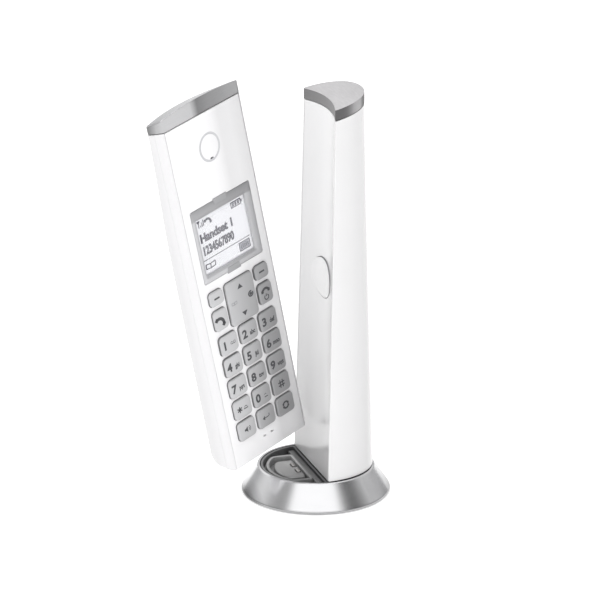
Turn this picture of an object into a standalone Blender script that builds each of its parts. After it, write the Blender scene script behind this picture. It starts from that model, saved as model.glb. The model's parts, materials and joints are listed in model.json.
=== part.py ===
"""Cordless telephone: a handset lifted out of its tower-shaped charging base.

Frame: origin at the centre of the foot's underside, +Z up, the cradle side faces -Y and the
tower stands on the +Y side. The handset is modelled upright in its own frame (x to the right
of someone who faces the keypad, y from the front into the depth, z along its length) and is
placed by one empty.
"""
from math import atan, cos, pi, radians, sin, sqrt

import bmesh
import bpy
from mathutils import Matrix, Vector

MM = 0.001
GAP = 0.3                       # clearance where two pieces meet, in mm

# Driving dimensions, in mm
FOOT_RADIUS = 32.8
FOOT_TOP_RADIUS = 25.7
FOOT_HEIGHT = 11.9
FOOT_LIFT = 0.3                 # height of the ring's lower lip above the table
RIM_INNER_RADIUS = 24.6
INSERT_RADIUS = RIM_INNER_RADIUS - GAP
PLATE_BOTTOM, PLATE_TOP = 0.9, 3.4

TOWER_BOTTOM = FOOT_HEIGHT + GAP
TOWER_TOP = 170.7               # top of the shells, measured at y = 0
CAP_HEIGHT = 5.0
TOP_SLOPE = 0.25                # rise of the tower's top towards the back
TOWER_HALF_WIDTH = (24.4, 21.6)     # at the bottom and at the top
TOWER_FRONT_Y = (-2.2, 1.06)        # front corners
TOWER_DEPTH = (27.4, 18.6)          # front corners to the back
TOWER_ROUNDNESS = (2.0, 2.16)       # superellipse exponent of the back
SCOOP_DEPTH = 4.2               # hollow of the front face
SHELL_WALL = 1.8
MITRE = 1.4                     # the shells meet at the corner in a slanted joint
LOCATOR_Z, LOCATOR_SIZE = 97.0, (12.4, 8.6)     # height and half axes of the oval button

HANDSET_ORIGIN = (7.12, -22.60, 24.01)
HANDSET_TURN, HANDSET_ROLL, HANDSET_LEAN = radians(115.5), radians(-14.3), radians(0.7)
BODY_HALF_WIDTH = 22.5
BODY_LENGTH = 161.2
CAP_TOP = 167.0                 # front edge of the handset's top cap
CAP_SLOPE = 0.44                # fall of the cap's top towards the back
CAP_CROWN = 1.8                 # rise of the cap's top edge in the middle
CAP_TILT = 0.27                 # fall of the cap's lower edge, from behind the panel to the back
BODY_DEPTH = (16.3, 14.0)       # lower part and top
BACK_BULGE = (0.8, 4.2)         # crown of the back, bottom and top
HEEL_RADIUS = 8.0               # rounding of the lower back edge
SEAM_Y = 4.8                    # front and rear housing meet here
CASE_WALL = 1.4
PANEL_HALF_WIDTH = 20.6
PANEL_THICKNESS = 1.2
KEY_PROUD = 1.2                 # key tops above the panel
KEY_BACK = 0.5
CELL_RADIUS, CELL_LENGTH = 5.25, 44.5
CELL_Y, CELL_Z = 9.0, 51.5
BAY_RIBS = (26.0, 77.0)
COVER_HALF_WIDTH, COVER_TOP, COVER_INNER_Y = 13.0, 91.7, 14.6
SCREW_X, SCREW_Z = 15.0, 104.0
EAR_Z, MIC_Z, RINGER_Z = 145.8, 7.5, 118.0
DISPLAY_CENTRE_Z, DISPLAY_SIZE = 106.0, (33.6, 33.8)
WINDOW_CENTRE_Z, WINDOW_SIZE = 105.1, (26.6, 23.4)

NUMBER_KEY = (9.8, 8.9)             # width and height of the keys in the number rows
SIDE_COLUMN, NUMBER_COLUMN = 13.1, 11.6
ROW_PITCH, FIRST_ROW_Z = 10.62, 58.8
NUMBER_ROWS = (("1", "2", "3"), ("4", "5", "6"), ("7", "8", "9"), ("star", "0", "hash"),
               ("speaker", "redial", "intercom"))


def key_layout():
    """Name, centre x, centre z, width and height of every key."""
    keys = [("key_soft_left", -SIDE_COLUMN, 81.5, 7.6, 6.6),
            ("key_soft_right", SIDE_COLUMN, 81.5, 7.6, 6.6),
            ("key_talk", -SIDE_COLUMN, 71.2, 7.6, 9.4),
            ("key_off", SIDE_COLUMN, 71.2, 7.6, 9.4),
            ("key_navigator", 0.0, 74.6, 15.6, 20.4)]
    for row, names in enumerate(NUMBER_ROWS):
        for column, name in enumerate(names):
            keys.append(("key_" + name, (column - 1) * NUMBER_COLUMN,
                         FIRST_ROW_Z - row * ROW_PITCH, *NUMBER_KEY))
    return keys


# ---------------------------------------------------------------- shape helpers

def mix(pair, t):
    return pair[0] + (pair[1] - pair[0]) * t


def smooth(t):
    t = min(max(t, 0.0), 1.0)
    return t * t * (3 - 2 * t)


def close_body(bm):
    bmesh.ops.recalc_face_normals(bm, faces=bm.faces)
    return bm


def loft(rings, bm=None):
    """Closed body through rings of equally many (x, y, z) points in mm."""
    bm = bm or bmesh.new()
    loops = [[bm.verts.new([c * MM for c in p]) for p in ring] for ring in rings]
    count = len(loops[0])
    for lower, upper in zip(loops, loops[1:]):
        for i in range(count):
            j = (i + 1) % count
            bm.faces.new((lower[i], lower[j], upper[j], upper[i]))
    bm.faces.new(loops[0])
    bm.faces.new(loops[-1])
    return close_body(bm)


def prism(outline, low, high, axis="z", bm=None):
    """Straight body: the outline lies in XY (axis z) or in XZ (axis y)."""
    if axis == "z":
        return loft([[(a, b, h) for a, b in outline] for h in (low, high)], bm)
    return loft([[(a, h, b) for a, b in outline] for h in (low, high)], bm)


def lathe(profile, steps=64, centre=(0.0, 0.0)):
    """Turned body round Z from a closed (radius, z) profile; radius 0 closes on the axis."""
    bm = bmesh.new()
    rings = []
    for radius, z in profile:
        if radius == 0.0:
            rings.append([bm.verts.new((centre[0] * MM, centre[1] * MM, z * MM))])
            continue
        rings.append([bm.verts.new(((centre[0] + radius * cos(2 * pi * i / steps)) * MM,
                                    (centre[1] + radius * sin(2 * pi * i / steps)) * MM,
                                    z * MM)) for i in range(steps)])
    for one, two in zip(rings, rings[1:] + rings[:1]):
        for i in range(steps):
            j = (i + 1) % steps
            if len(one) == 1 and len(two) == 1:
                break
            if len(one) == 1:
                bm.faces.new((one[0], two[j], two[i]))
            elif len(two) == 1:
                bm.faces.new((one[i], one[j], two[0]))
            else:
                bm.faces.new((one[i], one[j], two[j], two[i]))
    return close_body(bm)


def rounded_rect(cx, cz, width, height, radius, segments=4):
    points = []
    for k, (sx, sz) in enumerate(((1, 1), (-1, 1), (-1, -1), (1, -1))):
        for i in range(segments + 1):
            a = (k + i / segments) * pi / 2
            points.append((cx + sx * (width / 2 - radius) + radius * cos(a),
                           cz + sz * (height / 2 - radius) + radius * sin(a)))
    return points


def ellipse(cx, cz, half_width, half_height, steps=32):
    return [(cx + half_width * cos(2 * pi * i / steps), cz + half_height * sin(2 * pi * i / steps))
            for i in range(steps)]


def box(low, high, bm=None):
    outline = [(low[0], low[1]), (high[0], low[1]), (high[0], high[1]), (low[0], high[1])]
    return prism(outline, low[2], high[2], "z", bm)


def lathe_y(profile, steps, centre):
    """Turned body whose axis runs along Y through centre (x, z); profile is (radius, y)."""
    bm = lathe(profile, steps)
    turn = Matrix(((1, 0, 0, centre[0] * MM), (0, 0, 1, 0), (0, -1, 0, centre[1] * MM),
                   (0, 0, 0, 1)))
    bmesh.ops.transform(bm, matrix=turn, verts=bm.verts)
    return close_body(bm)


# ---------------------------------------------------------------- scene helpers

def clear_scene():
    for thing in list(bpy.data.objects):
        bpy.data.objects.remove(thing, do_unlink=True)


def material(name, colour, roughness, metallic=0.0, alpha=1.0):
    made = bpy.data.materials.get(name) or bpy.data.materials.new(name)
    made.use_nodes = True
    shader = made.node_tree.nodes["Principled BSDF"]
    shader.inputs["Base Color"].default_value = (*colour, 1.0)
    shader.inputs["Roughness"].default_value = roughness
    shader.inputs["Metallic"].default_value = metallic
    shader.inputs["Alpha"].default_value = alpha
    return made


MATERIALS = {
    "white_gloss": ((0.86, 0.86, 0.87), 0.18),
    "silver_brushed": ((0.62, 0.62, 0.63), 0.32, 1.0),
    "foot_chrome": ((0.66, 0.66, 0.67), 0.18, 1.0),
    "cradle_grey": ((0.20, 0.20, 0.21), 0.38, 0.4),
    "key_silver": ((0.62, 0.62, 0.64), 0.42, 0.2),
    "bezel_grey": ((0.42, 0.43, 0.45), 0.40),
    "lens_clear": ((0.95, 0.97, 0.97), 0.05, 0.0, 0.35),
    "lcd_pale": ((0.72, 0.75, 0.74), 0.45),
    "black_plastic": ((0.04, 0.04, 0.045), 0.55),
    "rubber_grey": ((0.16, 0.16, 0.17), 0.8),
    "board_green": ((0.05, 0.24, 0.12), 0.5),
    "steel": ((0.55, 0.55, 0.56), 0.35, 1.0),
    "contact_nickel": ((0.62, 0.61, 0.59), 0.25, 1.0),
    "cell_wrap": ((0.20, 0.36, 0.52), 0.4),
}


def add(name, bm, finish, parent=None, origin=(0.0, 0.0, 0.0), crease_deg=35):
    """Make the named object; its origin moves to origin (mm, in the parent's frame)."""
    bmesh.ops.translate(bm, vec=[-c * MM for c in origin], verts=bm.verts)
    mesh = bpy.data.meshes.new(name)
    bm.to_mesh(mesh)
    bm.free()
    mesh.shade_smooth()
    mesh.set_sharp_from_angle(angle=radians(crease_deg))
    made = bpy.data.objects.new(name, mesh)
    bpy.context.scene.collection.objects.link(made)
    made.location = [c * MM for c in origin]
    made.parent = parent
    if finish:
        mesh.materials.append(material(finish, *MATERIALS[finish]))
    return made


def cutter(name, bm, parent=None):
    tool = add(name, bm, None, parent)
    tool.hide_render = True
    tool.display_type = "WIRE"
    return tool


def boolean(target, tool, operation="DIFFERENCE"):
    step = target.modifiers.new(operation.lower(), "BOOLEAN")
    step.operation = operation
    step.solver = "EXACT"
    step.object = tool
    return target


# ---------------------------------------------------------------- the tower's form

def tower_values(z):
    t = (z - TOWER_BOTTOM) / (TOWER_TOP - TOWER_BOTTOM)
    scoop = SCOOP_DEPTH * (1 - (1 - min(t, 1.0)) ** 3) - t ** 4
    return (mix(TOWER_HALF_WIDTH, t), mix(TOWER_FRONT_Y, t), mix(TOWER_DEPTH, t),
            mix(TOWER_ROUNDNESS, t), scoop)


def back_point(values, angle, inset=0.0):
    half, front, depth, power, _ = values
    c, s = cos(angle), sin(angle)
    x = (half - inset) * abs(c) ** (2 / power) * (1 if c >= 0 else -1)
    return x, front + (depth - inset) * abs(s) ** (2 / power)


def back_arc(values, start_y, inset=0.0, steps=26):
    """Points of the rounded back from the +X end to the -X end, from start_y on."""
    _, front, depth, power, _ = values
    ratio = (start_y - front) / (depth - inset)
    first = 0.0 if ratio <= 0 else atan(1 / sqrt(max(ratio ** -power - 1, 1e-9)))
    return [back_point(values, first + (pi - 2 * first) * i / steps, inset)
            for i in range(steps + 1)]


def front_curve(values, offset=0.0, reach=None, steps=14):
    """Points of the scooped front from x = -reach to x = reach, by default corner to corner."""
    half, front, _, _, scoop = values
    reach = reach or half
    points = []
    for i in range(steps + 1):
        x = reach * (2 * i / steps - 1)
        points.append((x, front + offset + scoop * (1 - (x / half) ** 2)))
    return points


def slanted(points, z, share):
    return [(x, y, z + TOP_SLOPE * y * share) for x, y in points]


def tower_levels():
    fractions = (0.0, 0.06, 0.14, 0.24, 0.36, 0.48, 0.6, 0.7, 0.79, 0.87, 0.94, 1.0)
    for t in fractions:
        yield TOWER_BOTTOM + t * (TOWER_TOP - TOWER_BOTTOM), smooth((t - 0.7) / 0.3)


def front_shell_body():
    rings = []
    for z, share in tower_levels():
        values = tower_values(z)
        inner = front_curve(values, SHELL_WALL, values[0] - MITRE)
        rings.append(slanted(front_curve(values) + inner[::-1], z, share))
    return loft(rings)


def rear_shell_body():
    rings = []
    for z, share in tower_levels():
        values = tower_values(z)
        half, y0, _, _, scoop = values
        inner_start = y0 + SHELL_WALL + 4 * GAP + scoop * (1 - (1 - SHELL_WALL / half) ** 2)
        outer = back_arc(values, y0 + GAP)
        inner = back_arc(values, inner_start, SHELL_WALL)
        rings.append(slanted(outer + inner[::-1], z, share))
    return loft(rings)


def tower_cap_body():
    bevel = 0.5
    rings = []
    for height, inset in ((GAP, 0.0), (CAP_HEIGHT - bevel, 0.0), (CAP_HEIGHT, bevel)):
        half, front, depth, power, scoop = tower_values(TOWER_TOP)
        values = (half - inset, front + 0.4 * inset, depth - 1.4 * inset, power, scoop)
        outline = back_arc(values, values[1]) + front_curve(values)[1:-1]
        rings.append(slanted(outline, TOWER_TOP + height, 1.0))
    return loft(rings)


def make_tower():
    front = add("tower_front_shell", front_shell_body(), "white_gloss")
    add("tower_rear_shell", rear_shell_body(), "white_gloss")
    add("tower_top_cap", tower_cap_body(), "silver_brushed", crease_deg=25)
    hole = prism(ellipse(0, LOCATOR_Z, *(half + GAP for half in LOCATOR_SIZE)), -8, 12, "y")
    boolean(front, cutter("locator_hole", hole))
    values = tower_values(LOCATOR_Z)
    section = front_curve(values, -0.3, 15.0) + front_curve(values, 3.6, 15.0)[::-1]
    slab = loft([[(x, y, z) for x, y in section] for z in (LOCATOR_Z - 12, LOCATOR_Z + 12)])
    origin = (0, values[1] + values[4] - 0.3, LOCATOR_Z)
    button = add("locator_button", slab, "white_gloss", origin=origin)
    oval = prism(ellipse(0, LOCATOR_Z, *LOCATOR_SIZE), -8, 12, "y")
    boolean(button, cutter("locator_oval", oval), "INTERSECT")
    add("base_circuit_board", box((-14, 9.2, 60), (14, 10.4, 150)), "board_green")
    weight_values = (17.0, 4.0, 16.0, 2.0, 0.0)
    weight = prism(back_arc(weight_values, 4.0, steps=20), TOWER_BOTTOM, 42.0)
    boolean(add("ballast_weight", weight, "steel"), screw_hole_tool())


# ---------------------------------------------------------------- the foot

FOOT_SCREW_X, FOOT_SCREW_Y = 5.5, 7.0
SOCKET_BOTTOM, SOCKET_TOP = 1.2, 10.0
LINE_SOCKET = ((-24.0, -1.8), (-11.0, 10.6))        # low and high corner in XY, mouth at -X
POWER_JACK = ((-19.0, 11.6), (-8.0, 20.4))


def screw_hole_tool():
    existing = bpy.data.objects.get("foot_screw_holes")
    if existing:
        return existing
    bm = bmesh.new()
    for x in (-FOOT_SCREW_X, FOOT_SCREW_X):
        prism(ellipse(x, FOOT_SCREW_Y, 1.8, 1.8, 16), -1.0, 22.0, bm=bm)
    return cutter("foot_screw_holes", bm)


def make_screw(name, low, head_top, tip, radius, head_radius, centre):
    """Pan-head screw along Z, head downwards, with a slot across the head."""
    profile = [(0, low), (head_radius - 0.3, low), (head_radius, low + 0.3),
               (head_radius, head_top), (radius, head_top), (radius, tip - 1.0), (0, tip)]
    screw = add(name, lathe(profile, 20, centre), "steel")
    x, y = centre
    slot = box((x - 4, y - 0.35, low - 1), (x + 4, y + 0.35, low + 0.5))
    return boolean(screw, cutter(name + "_slot", slot))


def foot_ring_profile():
    slope_start = (FOOT_RADIUS - 0.25, 2.4)
    return [(31.2, FOOT_LIFT), (FOOT_RADIUS - 0.4, FOOT_LIFT + 0.15), (FOOT_RADIUS, FOOT_LIFT + 0.8),
            slope_start, (FOOT_TOP_RADIUS, FOOT_HEIGHT - 0.3), (FOOT_TOP_RADIUS - 0.2, FOOT_HEIGHT),
            (RIM_INNER_RADIUS + 0.2, FOOT_HEIGHT), (RIM_INNER_RADIUS, FOOT_HEIGHT - 0.3),
            (RIM_INNER_RADIUS, 10.0), (30.4, 2.6), (30.4, FOOT_LIFT)]


def disc_segment(radius, front_y, steps=40):
    """The part of a disc with y below front_y, its straight side at front_y."""
    reach = sqrt(radius ** 2 - front_y ** 2)
    start = atan(-front_y / reach)
    return [(radius * cos(pi + start + (pi - 2 * start) * i / steps),
             radius * sin(pi + start + (pi - 2 * start) * i / steps)) for i in range(steps + 1)]


FLOOR_Z, FRAME_TOP_Z, BLOCK_TOP_Z = 8.2, 11.0, 10.4
CRADLE_EDGE_Y, CRADLE_RADIUS = -3.0, 23.2
FRAME_OUTLINE = (15.6, -5.9, 21.9)      # half width, straight back edge, radius of the front edge
POCKET_OUTLINE = (14.0, -7.3, 20.4)
BLOCK_OUTLINE = (10.2, -7.7, 18.3)
CONTACT_X, CONTACT_Y, CONTACT_SIZE = 3.4, -9.4, (3.6, 1.8)


def round_corners(points, radius, segments=3):
    """Replace each corner sharper than 25 degrees by a short curve that starts radius away."""
    rounded = []
    for before, corner, after in zip(points[-1:] + points[:-1], points, points[1:] + points[:1]):
        into = Vector(corner) - Vector(before)
        out = Vector(after) - Vector(corner)
        if into.angle(out) < radians(25):
            rounded.append(corner)
            continue
        start = Vector(corner) - into.normalized() * min(radius, into.length / 2)
        end = Vector(corner) + out.normalized() * min(radius, out.length / 2)
        for i in range(segments + 1):
            t = i / segments
            point = start * (1 - t) ** 2 + Vector(corner) * 2 * t * (1 - t) + end * t ** 2
            rounded.append(tuple(point))
    return rounded


def bay_outline(half, back_y, radius, corner=1.8, steps=10):
    """Outline with a straight back edge, straight sides and a front edge along the rim."""
    side_y = -sqrt(radius ** 2 - half ** 2)
    first, last = atan(-side_y / half), pi - atan(-side_y / half)
    arc = [(radius * cos(-a), radius * sin(-a))
           for a in (last + (first - last) * i / steps for i in range(steps + 1))]
    return round_corners([(half, back_y), (-half, back_y)] + arc, corner)


def make_cradle_insert():
    insert = add("cradle_insert", lathe([(0, 5.2), (INSERT_RADIUS, 5.2), (INSERT_RADIUS, 11.6),
                                         (0, 11.6)]), "cradle_grey")
    recess = disc_segment(CRADLE_RADIUS, CRADLE_EDGE_Y)
    boolean(insert, cutter("recess_shallow", prism(recess, FRAME_TOP_Z, 20)))
    around = cutter("recess_floor", prism(recess, FLOOR_Z, 20))
    boolean(around, cutter("frame_keep", prism(bay_outline(*FRAME_OUTLINE), 5, 22)))
    boolean(insert, around)
    pocket = cutter("pocket", prism(bay_outline(*POCKET_OUTLINE), FLOOR_Z, 20))
    boolean(pocket, cutter("block_keep", prism(bay_outline(*BLOCK_OUTLINE), 5, BLOCK_TOP_Z)))
    boolean(insert, pocket)
    boolean(insert, cutter("rear_underside", box((-30, -2.1, 0), (18.5, 30, SOCKET_TOP + GAP))))
    slots = bmesh.new()
    for x in (-CONTACT_X, CONTACT_X):
        prism(rounded_rect(x, CONTACT_Y, CONTACT_SIZE[0] + 2 * GAP, CONTACT_SIZE[1] + 2 * GAP, 0.4, 1),
              0, 20, bm=slots)
    boolean(insert, cutter("contact_slots", slots))
    boolean(insert, screw_hole_tool())
    for side, x in (("left", -CONTACT_X), ("right", CONTACT_X)):
        rings = [[(a, b, z) for a, b in rounded_rect(x, CONTACT_Y, CONTACT_SIZE[0] - inset,
                                                     CONTACT_SIZE[1] - inset, 0.3, 1)]
                 for z, inset in ((6.4, 0.0), (10.9, 0.0), (11.3, 0.6))]
        add("charge_contact_" + side, loft(rings), "contact_nickel", origin=(x, CONTACT_Y, 6.4))


def make_foot():
    ring = add("foot_ring", lathe(foot_ring_profile(), 72), "foot_chrome", crease_deg=40)
    windows = bmesh.new()
    for low, high in (LINE_SOCKET, POWER_JACK):
        box((-40, low[1] - GAP, SOCKET_BOTTOM - GAP), (high[0], high[1] + GAP, SOCKET_TOP + GAP), windows)
    boolean(ring, cutter("socket_windows", windows))

    notch = bmesh.new()
    for low, high in (LINE_SOCKET, POWER_JACK):
        box((-40, low[1] - GAP, 0), (high[0] + GAP, high[1] + GAP, 5), notch)
    plate = add("foot_bottom_plate", lathe([(0, PLATE_BOTTOM), (30.1, PLATE_BOTTOM), (30.1, 2.3),
                                            (28.8, PLATE_TOP), (0, PLATE_TOP)]), "black_plastic")
    boolean(plate, cutter("socket_notches", notch))
    boolean(plate, screw_hole_tool())
    heads = bmesh.new()
    for x in (-FOOT_SCREW_X, FOOT_SCREW_X):
        prism(ellipse(x, FOOT_SCREW_Y, 3.2, 3.2, 20), 0, 2.3, bm=heads)
    boolean(plate, cutter("screw_head_recess", heads))
    add("anti_slip_pad", lathe([(0, 0), (28.6, 0), (29.0, 0.2), (29.0, 0.6), (0, 0.6)]), "rubber_grey")
    for index, x in enumerate((-FOOT_SCREW_X, FOOT_SCREW_X), 1):
        make_screw("foot_screw_%d" % index, 1.0, 2.0, 20.0, 1.4, 2.8, (x, FOOT_SCREW_Y))

    line = add("line_socket", box((*LINE_SOCKET[0], SOCKET_BOTTOM), (*LINE_SOCKET[1], SOCKET_TOP)),
               "black_plastic")
    middle = (LINE_SOCKET[0][1] + LINE_SOCKET[1][1]) / 2
    boolean(line, cutter("line_mouth", box((-40, middle - 4.9, 2.3), (-13, middle + 4.9, 8.9))))
    jack = add("dc_power_jack", box((*POWER_JACK[0], SOCKET_BOTTOM), (*POWER_JACK[1], SOCKET_TOP)),
               "black_plastic")
    bore = lathe([(0.8, -30), (2.75, -30), (2.75, -10.5), (0.8, -10.5)], 20)
    centre_y = (POWER_JACK[0][1] + POWER_JACK[1][1]) / 2
    lay = Matrix(((0, 0, 1, 0), (1, 0, 0, centre_y * MM), (0, 1, 0, 5.6 * MM), (0, 0, 0, 1)))
    bmesh.ops.transform(bore, matrix=lay, verts=bore.verts)
    boolean(jack, cutter("jack_bore", bore))


# ---------------------------------------------------------------- the handset's form

def depth_at(z):
    depth = mix(BODY_DEPTH, smooth((z - 95) / (BODY_LENGTH - 95)))
    if z < HEEL_RADIUS:
        depth += sqrt(HEEL_RADIUS ** 2 - (HEEL_RADIUS - z) ** 2) - HEEL_RADIUS
    return depth


def handset_section(z, inset=0.0, front=0.0):
    """Outline of the handset's body at height z, counter-clockwise from the front left."""
    half = BODY_HALF_WIDTH - inset
    depth = depth_at(z) - inset
    bulge = mix(BACK_BULGE, min(z / BODY_LENGTH, 1.0))
    corner = 3.0
    edge_w, edge_d = 2.2, 3.0
    points = []
    if front == 0.0:
        for i in range(5):
            a = pi / 2 * i / 4
            points.append((half - edge_w + edge_w * sin(a), edge_d - edge_d * cos(a)))
    else:
        points.append((half, front))
    back = depth - bulge * ((half - corner) / half) ** 2
    drop = min(corner, back - (points[-1][1] + 0.2))
    for i in range(5):
        a = pi / 2 * i / 4
        points.append((half - corner + corner * cos(a), back - drop + drop * sin(a)))
    steps = 12
    for i in range(1, steps // 2):
        x = (half - corner) * (1 - 2 * i / steps)
        points.append((x, depth - bulge * (x / half) ** 2))
    points.append((0.0, depth))
    mirrored = [(-x, y) for x, y in points[:-1]]
    return points + mirrored[::-1]


HANDSET_LEVELS = (0.0, 0.5, 1.5, 3.0, 5.2, 8.0, 16.0, 40.0, 70.0, 95.0, 112.0, 128.0, 145.0, BODY_LENGTH)


def handset_body(inset=0.0, low=None, high=None, front=0.0):
    low = 0.0 if low is None else low
    high = BODY_LENGTH if high is None else high
    levels = [low] + [z for z in HANDSET_LEVELS if low + 0.3 < z < high - 0.3] + [high]
    return loft([[(x, y, z) for x, y in handset_section(z, inset, front)] for z in levels])


def half_space(name, low_y, high_y, parent):
    return cutter(name, box((-40, low_y, -10), (40, high_y, 190)), parent)


def tilted_end(shift, far_z):
    """Body across the handset between its slanting upper end, moved by shift, and far_z."""
    top = BODY_LENGTH + shift
    side = [(-5.0, far_z), (-5.0, top), (1.5, top), (25.0, top - 23.5 * CAP_TILT), (25.0, far_z)]
    return loft([[(x, y, z) for y, z in side] for x in (-40, 40)])


def make_front_housing(pose):
    case = add("handset_front_housing", handset_body(), "white_gloss", pose)
    boolean(case, cutter("front_end_trim", tilted_end(0.0, 190), pose))
    boolean(case, half_space("behind_seam", SEAM_Y, 60, pose))
    boolean(case, cutter("front_cavity", handset_body(CASE_WALL, CASE_WALL, 175, 3.2), pose))
    boolean(case, cutter("panel_pocket", box((-PANEL_HALF_WIDTH - GAP, -5, -5),
                                             (PANEL_HALF_WIDTH + GAP, PANEL_THICKNESS + GAP, 175)), pose))
    boolean(case, cutter("panel_window", box((-19.3, 0.5, 3), (19.3, 10, 158)), pose))


def make_rear_housing(pose):
    case = add("handset_rear_housing", handset_body(), "white_gloss", pose)
    boolean(case, half_space("before_seam", -20, SEAM_Y + GAP, pose))
    boolean(case, cutter("rear_end_trim", tilted_end(0.0, 190), pose))
    bosses = bmesh.new()
    for x in (-SCREW_X, SCREW_X):
        prism(ellipse(x, SCREW_Z, 3.4, 3.4, 20), 8.0, 30, "y", bosses)
    boss_tool = cutter("screw_bosses", bosses, pose)
    rib = 0.8
    spans = ((CASE_WALL, BAY_RIBS[0] - rib), (BAY_RIBS[0] + rib, BAY_RIBS[1] - rib),
             (BAY_RIBS[1] + rib, 175))
    for number, (low, high) in enumerate(spans, 1):
        tool = cutter("rear_cavity_%d" % number, handset_body(CASE_WALL, low, high, 2.0), pose)
        if number == 3:
            boolean(tool, boss_tool)
        boolean(case, tool)
    boolean(case, cutter("cover_opening", box((-COVER_HALF_WIDTH - GAP, COVER_INNER_Y - GAP, -5),
                                              (COVER_HALF_WIDTH + GAP, 40, COVER_TOP + GAP)), pose))
    grille = bmesh.new()
    for i in range(-2, 3):
        width = 14.0 - 2.0 * abs(i)
        prism(rounded_rect(0, RINGER_Z + 2.6 * i, width, 1.2, 0.55, 2), 11, 30, "y", grille)
    boolean(case, cutter("ringer_grille", grille, pose))
    for number, x in enumerate((-SCREW_X, SCREW_X), 1):
        stepped_hole = [(0, 4), (1.3, 4), (1.3, 12.1), (2.3, 12.1), (2.3, 30), (0, 30)]
        hole = lathe_y(stepped_hole, 20, (x, SCREW_Z))
        boolean(case, cutter("case_screw_hole_%d" % number, hole, pose))
    slots = bmesh.new()
    for x in (-6.0, 6.0):
        box((x - 2.0 - GAP, 5.6, -3), (x + 2.0 + GAP, 8.0, 4), slots)
    boolean(case, cutter("charge_slots", slots, pose))
    cover = add("battery_cover", handset_body(), "white_gloss", pose)
    boolean(cover, cutter("cover_blank", box((-COVER_HALF_WIDTH, COVER_INNER_Y, -5),
                                             (COVER_HALF_WIDTH, 40, COVER_TOP)), pose), "INTERSECT")


def arched_roof(steps=16):
    """Body under an arch across the handset that falls towards the back."""
    reach = BODY_HALF_WIDTH + 1
    arch = [(reach, 150.0), (-reach, 150.0)]
    for i in range(steps + 1):
        x = reach * (2 * i / steps - 1)
        arch.append((x, CAP_TOP + CAP_CROWN * (1 - (x / BODY_HALF_WIDTH) ** 2)))
    return loft([[(x, y, z - CAP_SLOPE * y) for x, z in arch] for y in (-2, 20)])


def make_handset_cap(pose):
    section = handset_section(BODY_LENGTH)
    blank = loft([[(x, y, z) for x, y in section] for z in (BODY_LENGTH - 12, CAP_TOP + 5)])
    cap = add("handset_top_cap", blank, "silver_brushed", pose, crease_deg=25)
    boolean(cap, cutter("cap_foot", tilted_end(GAP, 100), pose))
    boolean(cap, cutter("cap_roof", arched_roof(), pose), "INTERSECT")


# ---------------------------------------------------------------- display, keys, inner parts

def make_panel(pose):
    outline = rounded_rect(0, (BODY_LENGTH - 0.1) / 2, 2 * PANEL_HALF_WIDTH, BODY_LENGTH - 0.1, 0.4, 2)
    panel = add("handset_front_panel", prism(outline, 0, PANEL_THICKNESS, "y"), "white_gloss", pose)
    holes = bmesh.new()
    for _, x, z, width, height in key_layout():
        prism(rounded_rect(x, z, width + 2 * GAP, height + 2 * GAP, 2.0, 3), -3, 4, "y", holes)
    prism(rounded_rect(0, DISPLAY_CENTRE_Z, DISPLAY_SIZE[0] + 2 * GAP, DISPLAY_SIZE[1] + 2 * GAP,
                       1.0, 2), -3, 4, "y", holes)
    prism(rounded_rect(0, EAR_Z - 5.5, 1.8, 1.2, 0.5, 2), -3, 4, "y", holes)
    for x in (-2.2, 2.2):
        prism(rounded_rect(x, MIC_Z, 1.8, 0.8, 0.35, 2), -3, 4, "y", holes)
    boolean(panel, cutter("panel_holes", holes, pose))
    ear = lathe_y([(6.7, -1), (7.1, -1), (7.1, 0.25), (6.7, 0.25)], 36, (0, EAR_Z))
    boolean(panel, cutter("ear_groove", ear, pose))


def make_display(pose):
    width, height = DISPLAY_SIZE
    window_w, window_h = WINDOW_SIZE
    outline = rounded_rect(0, DISPLAY_CENTRE_Z, width, height, 0.8, 2)
    bezel = add("display_bezel", prism(outline, -0.1, 1.0, "y"), "bezel_grey", pose)
    boolean(bezel, cutter("bezel_window", prism(rounded_rect(0, WINDOW_CENTRE_Z, window_w, window_h, 0.4, 2),
                                                -3, 4, "y"), pose))
    lens = rounded_rect(0, WINDOW_CENTRE_Z, window_w - 2 * GAP, window_h - 2 * GAP, 0.3, 2)
    add("display_lens", prism(lens, 0.1, 0.9, "y"), "lens_clear", pose)
    lcd = rounded_rect(0, WINDOW_CENTRE_Z, window_w + 3, window_h + 4, 0.3, 1)
    add("lcd_module", prism(lcd, 1.3, 2.3, "y"), "lcd_pale", pose)


def make_keys(pose):
    for name, x, z, width, height in key_layout():
        rings = []
        for y, inset in ((KEY_BACK, 0.0), (0.45 - KEY_PROUD, 0.0), (0.12 - KEY_PROUD, 0.25),
                         (-KEY_PROUD, 0.6)):
            rings.append([(a, y, b) for a, b in
                          rounded_rect(x, z, width - 2 * inset, height - 2 * inset, 1.8 - inset)])
        add(name, loft(rings), "key_silver", pose, origin=(x, 0.0, z))


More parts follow.
